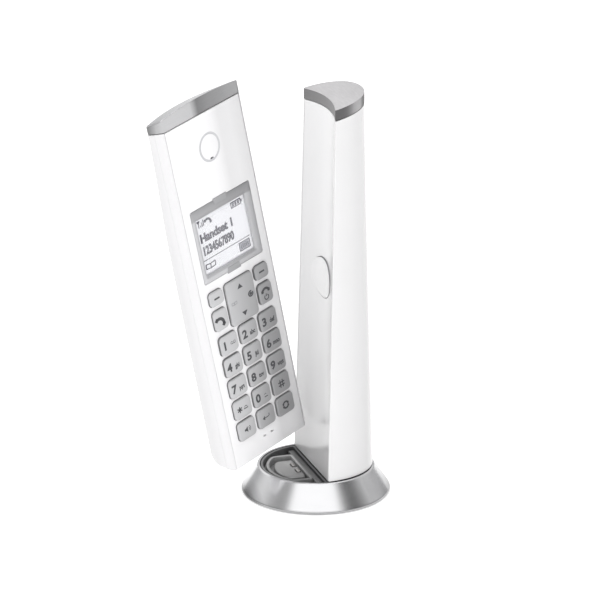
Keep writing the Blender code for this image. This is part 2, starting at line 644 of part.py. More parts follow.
def make_inner_parts(pose):
    mat_outline = rounded_rect(0, 48.6, 37.0, 75.0, 1.0, 1)
    add("keypad_mat", prism(mat_outline, 1.55, 2.3, "y"), "rubber_grey", pose)
    board_outline = rounded_rect(0, 71.5, 37.0, 119.0, 1.0, 1)
    board = add("handset_circuit_board", prism(board_outline, 2.6, 3.6, "y"), "board_green", pose)
    reliefs = bmesh.new()
    for x in (-SCREW_X, SCREW_X):
        prism(ellipse(x, SCREW_Z, 1.6, 1.6, 16), 0, 6, "y", reliefs)
    boolean(board, cutter("board_screw_holes", reliefs, pose))
    for name, z, radius, low, high in (("earpiece_speaker", EAR_Z, 10.0, 1.6, 5.6),
                                       ("ringer_speaker", RINGER_Z, 9.0, 8.6, 12.4),
                                       ("microphone", MIC_Z, 3.0, 1.6, 4.2)):
        profile = [(0, low), (radius - 0.4, low), (radius, low + 0.4), (radius, high - 1.2),
                   (0.7 * radius, high), (0, high)]
        add(name, lathe_y(profile, 28, (0, z)), "black_plastic", pose)
    for index, x in enumerate((-5.7, 5.7), 1):
        low, high = CELL_Z - CELL_LENGTH / 2, CELL_Z + CELL_LENGTH / 2
        profile = [(0, low), (CELL_RADIUS - 0.5, low), (CELL_RADIUS, low + 0.5), (CELL_RADIUS, high - 1.5),
                   (CELL_RADIUS - 0.6, high - 1.0), (1.9, high - 1.0), (1.9, high), (0, high)]
        add("battery_%d" % index, lathe(profile, 24, (x, CELL_Y)), "cell_wrap", pose)
    for side, x in (("left", -6.0), ("right", 6.0)):
        add("handset_charge_contact_" + side, box((x - 2.0, 5.9, 0.1), (x + 2.0, 7.7, 3.6)),
            "contact_nickel", pose)
    for index, x in enumerate((-SCREW_X, SCREW_X), 1):
        profile = [(0, 13.6), (1.7, 13.6), (2.0, 13.3), (2.0, 12.4), (1.0, 12.4), (1.0, 5.0), (0, 4.2)]
        screw = add("handset_screw_%d" % index, lathe_y(profile, 18, (x, SCREW_Z)), "steel", pose)
        slot = box((x - 4, 13.1, SCREW_Z - 0.3), (x + 4, 15, SCREW_Z + 0.3))
        boolean(screw, cutter("handset_screw_slot_%d" % index, slot, pose))


def make_handset():
    pose = bpy.data.objects.new("handset_pose", None)
    bpy.context.scene.collection.objects.link(pose)
    pose.location = [c * MM for c in HANDSET_ORIGIN]
    pose.rotation_euler = (HANDSET_LEAN, HANDSET_ROLL, HANDSET_TURN)
    make_front_housing(pose)
    make_rear_housing(pose)
    make_handset_cap(pose)
    make_panel(pose)
    make_display(pose)
    make_keys(pose)
    make_inner_parts(pose)


clear_scene()
make_foot()
make_cradle_insert()
make_tower()
make_handset()
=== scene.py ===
"""Looks of the cordless telephone: fine surfaces, key legends, display, materials, light and camera.

The shape functions work in millimetres and make metres at the vertices. The tower and the foot are
drawn in the frame's own axes. The handset is drawn upright in its own axes (x to the right of
someone who faces the keypad, y from the front into the depth, z along its length) and is placed by
a pose that is read from the frame.
"""
import json
from math import atan, cos, pi, radians, sin, sqrt

import bmesh
import bpy
from mathutils import Matrix, Vector


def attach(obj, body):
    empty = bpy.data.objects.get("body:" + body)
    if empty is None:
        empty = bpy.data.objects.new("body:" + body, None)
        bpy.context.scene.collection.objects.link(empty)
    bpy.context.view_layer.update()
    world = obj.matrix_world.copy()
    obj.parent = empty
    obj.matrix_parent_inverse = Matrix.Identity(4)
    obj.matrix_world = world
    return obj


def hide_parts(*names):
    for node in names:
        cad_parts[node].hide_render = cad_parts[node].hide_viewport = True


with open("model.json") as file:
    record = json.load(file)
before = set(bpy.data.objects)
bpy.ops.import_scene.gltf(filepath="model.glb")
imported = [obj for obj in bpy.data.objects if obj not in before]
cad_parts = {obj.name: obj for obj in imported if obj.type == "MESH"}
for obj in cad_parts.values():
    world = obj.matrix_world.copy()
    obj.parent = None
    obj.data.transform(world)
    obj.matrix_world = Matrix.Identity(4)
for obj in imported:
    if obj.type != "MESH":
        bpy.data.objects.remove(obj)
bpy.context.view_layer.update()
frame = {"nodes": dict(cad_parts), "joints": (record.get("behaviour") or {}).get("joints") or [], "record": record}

MM = 0.001
SHARP = radians(30)     # faces that meet at more than this keep a crisp edge

# Tower, as the CAD has it
TOWER_BOTTOM, TOWER_TOP = 12.2, 170.7
CAP_HEIGHT, TOP_SLOPE = 5, 0.25
TOWER_HALF_WIDTH = (24.4, 21.6)
TOWER_FRONT_Y = (-2.2, 1.06)
TOWER_DEPTH = (27.4, 18.6)
TOWER_ROUNDNESS = (2, 2.16)
SCOOP_DEPTH = 4.2
SHELL_WALL = 1.8
CORNER_LIP = 1.3        # how far the rear shell wraps round the corner onto the front
SEAM = 0.14             # width of a shut line
LOCATOR_Z, LOCATOR_SIZE, LOCATOR_PROUD = 97, (12.4, 8.6), 0.45

# Foot and cradle
FOOT_RADIUS, FOOT_TOP_RADIUS, FOOT_HEIGHT, FOOT_LIFT = 32.8, 25.7, 11.9, 0.3
RIM_INNER_RADIUS, INSERT_RADIUS = 24.6, 24.3
FLOOR_Z, FRAME_TOP_Z, BLOCK_TOP_Z, INSERT_TOP_Z = 8.2, 11, 10.4, 11.6
CRADLE_EDGE_Y, CRADLE_RADIUS = -3, 23.2
FRAME_OUTLINE, FRAME_WIDTH = (15.6, -5.9, 21.9), 1.5
BLOCK_OUTLINE = (10.2, -7.7, 18.3)
CONTACT_X, CONTACT_Y = 3.4, -9.4
LINE_SOCKET = ((-24, -1.8), (-11, 10.6))
POWER_JACK = ((-19, 11.6), (-8, 20.4))
SOCKET_LOW, SOCKET_HIGH = 0.9, 10.3
BASE_BAY = ((-30, -2.1, 0), (18.5, 30, SOCKET_HIGH))

# Handset, as the CAD has it, but for a tighter heel and a larger window
BODY_HALF_WIDTH, BODY_LENGTH = 22.5, 161.2
CAP_TOP, CAP_SLOPE, CAP_CROWN, CAP_TILT = 167, 0.44, 1.8, 0.27
BODY_DEPTH, BACK_BULGE = (16.3, 14), (0.8, 4.2)
HEEL_RADIUS, SEAM_Y, CASE_WALL = 5, 4.8, 1.4
EDGE_WIDTH, EDGE_DEPTH, BACK_CORNER = 2.2, 3, 3
PANEL_HALF_WIDTH, PANEL_THICKNESS = 20.6, 1.2
KEY_GAP, BEZEL_GAP = 0.28, 0.15
EAR_Z, MIC_Z, RINGER_Z = 145.8, 7.5, 118
SCREW_X, SCREW_Z = 15, 104
COVER_HALF_WIDTH, COVER_TOP, COVER_INNER_Y = 13, 91.7, 14.6
PANEL_BAY = ((-19.3, 0.5, 3), (19.3, 10, 158))
CELL_BAY = ((-12, 0, 27), (12, 14.4, 76))
BOARD_BAY_Z = (80, 153)
WINDOW_CENTRE, WINDOW_SIZE = (-0.5, 105.1), (27.6, 25.6)
LCD_FRONT_Y = 1.3
PRINT = 0.03            # half the thickness of printed signs


# ---- places read from the frame

def joint_axis(name):
    return Vector(next(j["axis"] for j in frame["joints"] if j["name"] == name)).normalized()


def extent(points):
    """Lowest and highest corner of the box round some points."""
    return [[end(p[i] for p in points) for i in range(3)] for end in (min, max)]


def handset_pose():
    """Where the handset's own axes are: its length is the lift's axis, its depth a key's travel."""
    up = joint_axis("handset_lift")
    inward = joint_axis("key_5_press")
    turn = Matrix((inward.cross(up), inward, up)).transposed()
    nodes = [frame["nodes"][name] for name in ("handset_front_housing", "handset_front_panel")]
    low, high = extent([turn.transposed() @ v.co for node in nodes for v in node.data.vertices])
    origin = turn @ Vector(((low[0] + high[0]) / 2, low[1], low[2]))
    return Matrix.Translation(origin) @ turn.to_4x4()


POSE = handset_pose()
TO_HANDSET = POSE.inverted()


def face_of(node):
    """A node seen from the keypad side, in mm: centre and size in (x, z), front and back in y."""
    low, high = extent([TO_HANDSET @ v.co / MM for v in frame["nodes"][node].data.vertices])
    centre = ((low[0] + high[0]) / 2, (low[2] + high[2]) / 2)
    return centre, (high[0] - low[0], high[2] - low[2]), low[1], high[1]


# ---- outlines

def mix(pair, t):
    return pair[0] + (pair[1] - pair[0]) * t


def smooth(t):
    t = min(max(t, 0.0), 1.0)
    return t * t * (3 - 2 * t)


def around(points):
    return zip(points[-1:] + points[:-1], points, points[1:] + points[:1])


def rounded_rect(cx, cz, width, height, radius, segments=6):
    points = []
    for k, (sx, sz) in enumerate(((1, 1), (-1, 1), (-1, -1), (1, -1))):
        for i in range(segments + 1):
            a = (k + i / segments) * pi / 2
            points.append((cx + sx * (width / 2 - radius) + radius * cos(a),
                           cz + sz * (height / 2 - radius) + radius * sin(a)))
    return points


def ellipse(cx, cz, half_width, half_height, steps=48):
    angles = (2 * pi * i / steps for i in range(steps))
    return [(cx + half_width * cos(a), cz + half_height * sin(a)) for a in angles]


def walk(points, start, step, distance, stops):
    """Point that lies distance from points[start] on the outline, and the points passed by."""
    here, passed, k = Vector(points[start]), [], start
    while True:
        k = (k + step) % len(points)
        ahead = Vector(points[k])
        length = (ahead - here).length
        if k in stops:
            distance = min(distance, length / 2)
        if distance <= length:
            return here.lerp(ahead, distance / length), passed
        distance -= length
        here = ahead
        passed.append(k)


def round_corners(points, radius, segments=5, sharper_than=25):
    """Replace each sharp corner by a curve that starts radius away from it along the outline."""
    sharp = []
    for i, (before, corner, after) in enumerate(around(points)):
        into, out = Vector(corner) - Vector(before), Vector(after) - Vector(corner)
        if into.angle(out) >= radians(sharper_than):
            sharp.append(i)
    curves, dropped = {}, set()
    for i in sharp:
        start, passed_before = walk(points, i, -1, radius, sharp)
        end, passed_after = walk(points, i, 1, radius, sharp)
        dropped.update(passed_before + passed_after)
        corner = Vector(points[i])
        steps = (k / segments for k in range(segments + 1))
        curves[i] = [tuple(start * (1 - t) ** 2 + corner * 2 * t * (1 - t) + end * t ** 2) for t in steps]
    rounded = []
    for i, point in enumerate(points):
        if i in curves:
            rounded += curves[i]
        elif i not in dropped:
            rounded.append(point)
    return rounded


def inset(points, distance):
    """A counter-clockwise outline drawn in by distance."""
    if not distance:
        return points
    moved = []
    for before, here, after in around(points):
        into = (Vector(here) - Vector(before)).normalized()
        out = (Vector(after) - Vector(here)).normalized()
        heading = into + out
        reach = distance / max(heading.length / 2, 0.5)
        inward = Vector((-heading.y, heading.x)).normalized()
        moved.append((here[0] + inward.x * reach, here[1] + inward.y * reach))
    return moved


def quarter(steps):
    """Angles of a quarter turn, both ends included."""
    return [pi / 2 * i / steps for i in range(steps + 1)]


def soft_top(low, high, radius, steps=5):
    """(inset, height) levels of a body from low to high with a rounded edge at high."""
    drop = radius if high > low else -radius
    return [(0.0, low)] + [(radius * (1 - cos(a)), high - drop * (1 - sin(a))) for a in quarter(steps)]


# ---- bodies

def loft(rings, bm=None, closed=False):
    """Body through rings of equally many points; closed joins the last ring to the first."""
    bm = bm or bmesh.new()
    loops = [[bm.verts.new([c * MM for c in p]) for p in ring] for ring in rings]
    count = len(loops[0])
    pairs = list(zip(loops, loops[1:]))
    if closed:
        pairs.append((loops[-1], loops[0]))
    for lower, upper in pairs:
        for i in range(count):
            j = (i + 1) % count
            bm.faces.new((lower[i], lower[j], upper[j], upper[i]))
    if not closed:
        bm.faces.new(loops[0])
        bm.faces.new(loops[-1])
    bmesh.ops.recalc_face_normals(bm, faces=bm.faces)
    return bm


def stand(ring, height, axis):
    return [(a, b, height) if axis == "z" else (a, height, b) for a, b in ring]


def stack(outline, levels, axis="z", bm=None):
    """Body of one outline, drawn in by each level's inset at that level's height."""
    return loft([stand(inset(outline, d), h, axis) for d, h in levels], bm)


def plate(centre, size, radius, levels):
    """Body of a rounded rectangle on the keypad side, for insets larger than its corner radius."""
    rings = []
    for draw, height in levels:
        width, length = (side - 2 * draw for side in size)
        ring = rounded_rect(*centre, width, length, max(radius - draw, 0.2), 7)
        rings.append(stand(ring, height, "y"))
    return loft(rings)


def prism(outline, low, high, axis="z", bm=None):
    return stack(outline, ((0.0, low), (0.0, high)), axis, bm)


def prisms(outlines, low, high, axis="y", bm=None):
    bm = bm or bmesh.new()
    for outline in outlines:
        prism(outline, low, high, axis, bm)
    return bm


def box(low, high, bm=None):
    (x0, y0, z0), (x1, y1, z1) = low, high
    return prism([(x0, y0), (x1, y0), (x1, y1), (x0, y1)], z0, z1, "z", bm)


def band(outline, levels, axis="z"):
    """Frame that follows an outline; its cross-section is the closed loop of (inset, height)."""
    return loft([stand(inset(outline, d), h, axis) for d, h in levels], closed=True)


def turned(profile, steps=160, centre=(0.0, 0.0), axis="z", bm=None):
    """Turned body from a closed (radius, height) profile; a radius of 0 closes on the axis."""
    bm = bm or bmesh.new()
    rings = []
    for radius, height in profile:
        ring = stand(ellipse(*centre, radius, radius, steps if radius else 1), height, axis)
        rings.append([bm.verts.new([c * MM for c in p]) for p in ring])
    for one, two in zip(rings, rings[1:] + rings[:1]):
        for i in range(steps):
            j = (i + 1) % steps
            corners = (one[i % len(one)], one[j % len(one)], two[j % len(two)], two[i % len(two)])
            distinct = list(dict.fromkeys(corners))
            if len(distinct) > 2:
                bm.faces.new(distinct)
    bmesh.ops.recalc_face_normals(bm, faces=bm.faces)
    return bm


def add_object(name, data):
    made = bpy.data.objects.new(name, data)
    bpy.context.scene.collection.objects.link(made)
    return made


def evaluated_mesh(target):
    graph = bpy.context.evaluated_depsgraph_get()
    return bpy.data.meshes.new_from_object(target.evaluated_get(graph))


def make(name, bm):
    mesh = bpy.data.meshes.new(name)
    for face in bm.faces:
        face.smooth = len(face.verts) < 5
    bm.to_mesh(mesh)
    bm.free()
    mesh.set_sharp_from_angle(angle=SHARP)
    return add_object(name, mesh)


def settle(target):
    """Replace the object's mesh by what its modifiers make of it."""
    mesh = evaluated_mesh(target)
    target.modifiers.clear()
    target.data = mesh
    return target


def carve(target, bm, operation="DIFFERENCE", sharp=SHARP):
    """Cut a body out of the target, or keep only what lies in it, and drop the tool."""
    tool = make(target.name + "_tool", bm)
    step = target.modifiers.new("carve", "BOOLEAN")
    step.operation = operation
    step.solver = "EXACT"
    step.object = tool
    settle(target)
    bpy.data.objects.remove(tool, do_unlink=True)
    target.data.set_sharp_from_angle(angle=sharp)
    return target


def soften(target, width, angle):
    """Round the edges that are sharper than the angle."""
    step = target.modifiers.new("soften", "BEVEL")
    step.limit_method = "ANGLE"
    step.angle_limit = angle
    step.width = width * MM
    step.segments = 2
    step.use_clamp_overlap = False
    return settle(target)


# ---- materials

class Nodes:
    """Short ways to build a node tree; a value is a plain one or the output that gives it."""

    def __init__(self, tree):
        self.tree = tree

    def fill(self, node, values):
        for key, value in values.items():
            if isinstance(value, bpy.types.NodeSocket):
                self.tree.links.new(value, node.inputs[key])
            else:
                node.inputs[key].default_value = value

    def add(self, kind, output=0, **values):
        """Add a node with its inputs and settings by name, and give one of its outputs."""
        node = self.tree.nodes.new(kind)
        for key, value in values.items():
            if key in node.inputs:
                self.fill(node, {key: value})
            else:
                setattr(node, key, value)
        return node.outputs[output]

    def split(self, vector):
        return self.add("ShaderNodeSeparateXYZ", Vector=vector).node.outputs

    def calculate(self, operation, *values):
        result = self.add("ShaderNodeMath", operation=operation)
        self.fill(result.node, dict(enumerate(values)))
        return result

    def span(self, value, first, last, low=0.0, high=1.0):
        """The stretch from first to last becomes the one from low to high; the ends are held."""
        limits = {"From Min": first, "From Max": last, "To Min": low, "To Max": high}
        return self.add("ShaderNodeMapRange", Value=value, **limits)

    def blend(self, factor, one, two, kind="MIX"):
        """Colour between two colours, or one multiplied by the other."""
        node = self.add("ShaderNodeMix", data_type="RGBA", blend_type=kind, Factor=factor).node
        self.fill(node, {6: one, 7: two})
        return node.outputs[2]

    def ramp(self, value, stops):
        """Colours, or greys given by one number, at positions from 0 to 1."""
        result = self.add("ShaderNodeValToRGB", Fac=value)
        elements = result.node.color_ramp.elements
        while len(elements) < len(stops):
            elements.new(0.5)
        for element, (position, colour) in zip(elements, stops):
            element.position = position
            element.color = (*colour, 1.0) if isinstance(colour, tuple) else (colour, colour, colour, 1.0)
        return result


# What a finish is: base colour, roughness, metallic, grain size in mm, grain stretch (x, y, z),
# bump height in mm, colour variation, roughness variation, edge wear
EVEN = (1, 1, 1)
GLOSS = (0.17, 0, 0.7, EVEN, 0.0016, 0.012, 0.05, 0.03)
BRUSHED = (0.16, (0.03, 0.03, 1), 0.003, 0.1, 0.1, 0.25)
SATIN = (0.34, 0.3, 0.14, EVEN, 0.002, 0.05, 0.06, 0.15)
LOOKS = {
    "white_gloss": ((0.875, 0.87, 0.88), *GLOSS),
    # the next four whites are lighter and darker copies of one white plastic: painted light and shade
    "case_white_painted_shade": ((0.86, 0.855, 0.865), *GLOSS),
    "front_white_painted_shade": ((0.765, 0.762, 0.767), *GLOSS),
    "tower_white_painted_shade": ((0.86, 0.855, 0.86), *GLOSS),
    "face_white_painted_shade": ((0.9, 0.895, 0.905), 0.15, 0, 0.7, EVEN, 0.0014, 0.01, 0.05, 0.03),
    # grey of the earpiece's dish: painted shade
    "earpiece_painted_shade": ((0.58, 0.58, 0.6), 0.25, 0, 0.5, EVEN, 0.0016, 0.02, 0.05, 0.03),
    "silver_brushed": ((0.6, 0.6, 0.61), 0.3, 1, *BRUSHED),
    "tower_silver_painted_reflection": ((0.66, 0.65, 0.66), 0.48, 0.6, *BRUSHED),
    "handset_silver_painted_reflection": ((0.68, 0.68, 0.69), 0.3, 1, *BRUSHED),
    "foot_chrome": ((0.7, 0.7, 0.71), 0.2, 1, 0.22, (0.04, 0.04, 1), 0.001, 0.03, 0.05, 0.1),
    "cradle_grey": ((0.25, 0.25, 0.255), 0.36, 0.55, 0.25, EVEN, 0.004, 0.12, 0.08, 0.35),
    # lighter copy of the cradle grey: painted light on the frame and block
    "cradle_grey_painted_light": ((0.46, 0.46, 0.46), 0.33, 0.55, 0.25, EVEN, 0.004, 0.1, 0.08, 0.35),
    "key_silver": ((0.55, 0.55, 0.56), 0.36, 0.35, 0.12, EVEN, 0.002, 0.05, 0.08, 0.1),
    # partly the keys' own dark edge, partly painted shade of the gap round each key
    "key_edge_and_gap_shade": ((0.22, 0.22, 0.225), 0.42, 0, 0.2, EVEN, 0.002, 0.1, 0.06, 0.2),
    "bezel_grey": ((0.5, 0.5, 0.515), *SATIN),
    # grey of the display frame's tabs; on the locator button's skirt it is painted shade of the gap round it
    "tab_grey_and_gap_shade": ((0.34, 0.34, 0.35), *SATIN),
    "lcd_pale": ((0.87, 0.87, 0.9), 0.4, 0, 0.3, EVEN, 0.0008, 0.02, 0.04, 0),
    "black_plastic": ((0.03, 0.03, 0.033), 0.5, 0, 0.3, EVEN, 0.008, 0.15, 0.1, 0.3),
    "rubber_grey": ((0.075, 0.075, 0.08), 0.72, 0, 0.5, EVEN, 0.015, 0.2, 0.1, 0.2),
    "board_green": ((0.03, 0.17, 0.08), 0.38, 0, 1.2, EVEN, 0.005, 0.25, 0.12, 0.1),
    "steel": ((0.52, 0.52, 0.53), 0.32, 1, 0.2, (0.2, 1, 1), 0.003, 0.08, 0.1, 0.2),
    "contact_nickel": ((0.42, 0.41, 0.4), 0.34, 1, 0.15, (1, 0.1, 1), 0.002, 0.08, 0.1, 0.2),
    "cell_wrap": ((0.1, 0.22, 0.38), 0.3, 0.3, 0.8, (1, 1, 0.2), 0.002, 0.1, 0.08, 0.1),
    "ink": ((0.06, 0.06, 0.065), 0.5, 0, 0.1, EVEN, 0.001, 0.15, 0.08, 0),
    "ink_pale": ((0.27, 0.27, 0.29), 0.5, 0, 0.1, EVEN, 0.001, 0.1, 0.08, 0),
    "lcd_ink": ((0.055, 0.05, 0.075), 0.45, 0, 0.1, EVEN, 0.001, 0.1, 0.05, 0),
    "lcd_ink_pale": ((0.36, 0.36, 0.4), 0.45, 0, 0.1, EVEN, 0.001, 0.1, 0.05, 0),
}

# Painted light and shade of some finishes, multiplied into the colour: the axis it runs along, its two
# ends in mm, the painted brightness at points from 0 to 1 between them and, where it differs, the
# painted brightness of faces that look up
PAINTED_SHADES = {
    # painted shade: the keypad's face greys towards its right edge
    "face_white_painted_shade": [("X", -PANEL_HALF_WIDTH, PANEL_HALF_WIDTH, (
        (0, 1), (0.48, 1), (0.6, 0.93), (0.69, 0.81), (0.83, 0.83), (1, 0.76)))],
    # painted shade: the case darkens towards its back
    "case_white_painted_shade": [("Y", 0, BODY_DEPTH[0], ((0, 0.9), (0.3, 0.88), (0.6, 0.82), (1, 0.8)))],
    # painted shade: the tower's front darkens lower down and towards the near crease
    "front_white_painted_shade": [
        ("Z", 12, 170, ((0, 0.78), (0.25, 0.84), (0.55, 0.96), (1, 1))),
        ("X", -24, 24, ((0, 1), (0.5, 1), (0.8, 0.94), (1, 0.92)))],
    # painted shade: the tower's rear shell darkens away from its front, less so at the very back
    "tower_white_painted_shade": [("Y", -2, 26, (
        (0, 0.92), (0.15, 0.9), (0.4, 0.87), (0.58, 0.82), (0.72, 0.74), (1, 0.84)))],
    # painted shade: the keys darken from left to right
    "key_silver": [("X", -18, 18, ((0, 1), (0.3, 0.9), (0.6, 0.68), (1, 0.54)))],
    # painted light and shade: the display frame lighter at its left, its top strip darker
    "bezel_grey": [
        ("X", -15, 15, ((0, 1.1), (0.5, 1), (1, 0.82))),
        ("Z", 110, 124, ((0, 1), (0.56, 1), (0.62, 0.66), (1, 0.62)))],
    # painted shade: the tray darkens towards the ledge behind the bay
    "cradle_grey": [("Y", -9, -2, ((0, 1), (0.5, 0.72), (1, 0.58)))],
    # painted shade: the frame and block darken from left to right
    "cradle_grey_painted_light": [("X", -16, 16, ((0, 1), (0.35, 0.92), (0.65, 0.66), (1, 0.52)))],
    # painted reflection: the tower cap's sides dark by the crease, lighter part way round, dark again behind; its
    # tops evenly bright
    "tower_silver_painted_reflection": [
        ("Y", 1, 19.5, ((0, 0.27), (0.2, 0.3), (0.28, 0.34), (0.38, 0.42), (0.6, 0.6),
                        (0.69, 0.58), (0.8, 0.16), (0.91, 0.04)), 0.93),
        ("X", -22, 22, ((0, 1), (0.94, 1), (0.975, 0.6), (1, 0.6)), 1)],
    # painted reflection and shade: the polished ring darkens at both flanks and at its lower lip
    "foot_chrome": [
        ("Y", -33, 33, ((0, 0.18), (0.035, 0.7), (0.07, 1), (0.15, 1), (0.84, 1), (0.92, 0.66),
                        (0.97, 0.24))),
        ("Z", 0, 2, ((0, 0.4), (0.45, 0.55), (1, 1)))],
    # painted reflection: the handset cap's front lighter at the left and dark in the middle, its side darkening
    # towards the back
    "handset_silver_painted_reflection": [
        ("X", -BODY_HALF_WIDTH, BODY_HALF_WIDTH, (
            (0, 0.62), (0.06, 0.7), (0.38, 0.68), (0.46, 0.27), (0.6, 0.34), (0.8, 0.42), (1, 0.5)), 1),
        ("Y", 0, 13, ((0, 1), (0.2, 0.9), (0.3, 0.74), (0.7, 0.29), (1, 0.11)), 1)],
}


def new_material(name):
    made = bpy.data.materials.new(name)
    made.use_nodes = True
    return made, made.node_tree.nodes["Principled BSDF"], Nodes(made.node_tree)


def look(name):
    """Moulded, painted or metal surface: fine grain, soft colour patches, worn edges and, on some finishes,
    painted light and shade.
    """
    existing = bpy.data.materials.get("finish_" + name)
    if existing:
        return existing
    colour, rough, metallic, grain, stretch, height, tint_range, rough_range, wear = LOOKS[name]
    made, shader, n = new_material("finish_" + name)
    made.diffuse_color = (*colour, 1.0)
    place = n.add("ShaderNodeTexCoord", "Object")
    stretched = n.add("ShaderNodeMapping", Vector=place, Scale=stretch)
    fine = n.add("ShaderNodeTexNoise", Vector=stretched, Scale=1000.0 / grain, Detail=4.0, Roughness=0.6)
    broad = n.add("ShaderNodeTexNoise", Vector=place, Scale=60.0, Detail=3.0, Roughness=0.5)
    patches = n.add("ShaderNodeMix", Factor=0.5, A=fine, B=broad)
    dark, light = (tuple(min(c * f, 1.0) for c in colour) for f in (1 - tint_range, 1 + tint_range))
    tint = n.ramp(patches, ((0.35, dark), (0.65, light)))
    shape = n.add("ShaderNodeNewGeometry").node.outputs
    edges = n.span(shape["Pointiness"], 0.52, 0.62, 0.0, wear)
    base = n.blend(edges, tint, (*(min(c * 1.25 + 0.03, 1.0) for c in colour), 1.0))
    # painted light and shade, multiplied into the base colour
    for painted_light_row in PAINTED_SHADES.get(name, ()):
        base = n.blend(1.0, base, painted_shade_tone(n, place, shape["Normal"], *painted_light_row), "MULTIPLY")
    half = rough_range / 2
    gloss = n.span(patches, 0.3, 0.7, rough - half, rough + half)
    bump = n.add("ShaderNodeBump", Strength=0.6, Distance=height * MM, Height=fine)
    n.fill(shader, {"Base Color": base, "Metallic": metallic, "Roughness": gloss, "Normal": bump})
    return made


def painted_shade_tone(n, place, normal, axis, first, last, stops, top=None):
    """Painted light and shade: brightness that changes softly along one axis, or is top on faces that look up."""
    tone = n.ramp(n.span(n.split(place)[axis], first * MM, last * MM), stops)
    if top is None:
        return tone
    upward = n.span(n.split(normal)["Z"], 0.15, 0.45)
    return n.blend(upward, tone, (top, top, top, 1.0))


def clear_look():
    """The display's window: clear, with faint dust in its gloss."""
    made, shader, n = new_material("finish_lens_clear")
    place = n.add("ShaderNodeTexCoord", "Object")
    dust = n.add("ShaderNodeTexNoise", Vector=place, Scale=900.0, Detail=3.0)
    gloss = n.span(dust, 0.0, 1.0, 0.03, 0.10)
    n.fill(shader, {"Base Color": (0.97, 0.98, 1, 1), "Alpha": 0.10, "Roughness": gloss})
    return made


# ---- pieces

def piece(made, body, finish, replaces=(), pose=None):
    """Give a piece its place, body, material and the CAD nodes that it stands for."""
    made.data.materials.clear()
    made.data.materials.append(look(finish))
    if pose:
        made.matrix_world = pose
    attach(made, body)
    if replaces:
        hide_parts(*replaces)
    return made


def handset_piece(made, finish, replaces=(), body="handset"):
    return piece(made, body, finish, replaces, POSE)


def dress_cad_nodes():
    """The CAD nodes that stay get a finished material too."""
    slots = {entry["node"]: entry["material_slot"] for entry in frame["record"]["subparts"]}
    glass = clear_look()
    for name, node in frame["nodes"].items():
        node.data.materials.clear()
        node.data.materials.append(glass if slots[name] == "lens_clear" else look(slots[name]))


# ---- the tower

def tower_values(z):
    t = (z - TOWER_BOTTOM) / (TOWER_TOP - TOWER_BOTTOM)
    scoop = SCOOP_DEPTH * (1 - (1 - min(t, 1.0)) ** 3) - t ** 4
    return (mix(TOWER_HALF_WIDTH, t), mix(TOWER_FRONT_Y, t), mix(TOWER_DEPTH, t),
            mix(TOWER_ROUNDNESS, t), scoop)


def back_arc(values, wall=0.0, start_y=None, steps=80):
    """Points of the rounded back from the +X end to the -X end."""
    half, front, depth, power, _ = values
    first = 0.0
    if start_y is not None:
        ratio = (start_y - front) / (depth - wall)
        first = atan(1 / sqrt(max(ratio ** -power - 1, 1e-9)))
    points = []
    for i in range(steps + 1):
        a = first + (pi - 2 * first) * i / steps
        side = 1 if cos(a) >= 0 else -1
        points.append((side * (half - wall) * abs(cos(a)) ** (2 / power),
                       front + (depth - wall) * abs(sin(a)) ** (2 / power)))
    return points


def front_curve(values, behind, low, high, steps=40):
    """Points of the scooped front from x = low to x = high."""
    half, front, _, _, scoop = values
    xs = (low + (high - low) * i / steps for i in range(steps + 1))
    return [(x, front + behind + scoop * (1 - (x / half) ** 2)) for x in xs]


def slanted(points, z, share):
    return [(x, y, z + TOP_SLOPE * y * share) for x, y in points]


def front_panel_section(values):
    reach = values[0] - CORNER_LIP
    outer = front_curve(values, 0.0, -reach, reach)
    inner = front_curve(values, 1.5, -reach + 1.2, reach - 1.2)
    return round_corners(outer + inner[::-1], 0.25, 3, 40)


def rear_shell_section(values):
    half, front, _, _, scoop = values
    lip = half - CORNER_LIP + SEAM
    right = front_curve(values, 0.0, lip, half, 4)
    left = front_curve(values, 0.0, -half, -lip, 4)
    corner = round_corners(right + back_arc(values)[1:-1] + left, 0.75, 6, 40)
    lip_y = front + scoop * (1 - (lip / half) ** 2)
    inner = back_arc(values, SHELL_WALL, front + 3.6, 40)
    return corner + [(-lip, lip_y + 1.3)] + inner[::-1] + [(lip, lip_y + 1.3)]


def shell(section, steps=44):
    """Body of one section of the tower; its rings lean into the slanting top over the upper part."""
    rings = []
    for i in range(steps + 1):
        z = mix((TOWER_BOTTOM, TOWER_TOP), i / steps)
        rings.append(slanted(section(tower_values(z)), z, smooth((i / steps - 0.7) / 0.3)))
    return loft(rings)


def tower_cap():
    values = tower_values(TOWER_TOP)
    front = front_curve(values, 0.0, -values[0], values[0])
    outline = round_corners(back_arc(values) + front[1:-1], 0.8, 6, 40)
    low, radius = 0.25, 0.2
    levels = [(0.18, low), (0.0, low + 0.18), (0.0, low + 0.5), (0.0, CAP_HEIGHT / 2)]
    levels += [(0.0, CAP_HEIGHT - radius - 0.4)] + soft_top(low, CAP_HEIGHT, radius)[1:]
    return loft([slanted(inset(outline, d), TOWER_TOP + h, 1.0) for d, h in levels])


def make_tower():
    front = make("tower_front", shell(front_panel_section))
    carve(front, prism(ellipse(0, LOCATOR_Z, *(s + 0.25 for s in LOCATOR_SIZE), 72), -8, 12, "y"))
    piece(front, "base", "front_white_painted_shade", ["tower_front_shell"])
    rear = make("tower_rear", shell(rear_shell_section))
    piece(rear, "base", "tower_white_painted_shade", ["tower_rear_shell"])
    piece(make("tower_cap", tower_cap()), "base", "tower_silver_painted_reflection", ["tower_top_cap"])


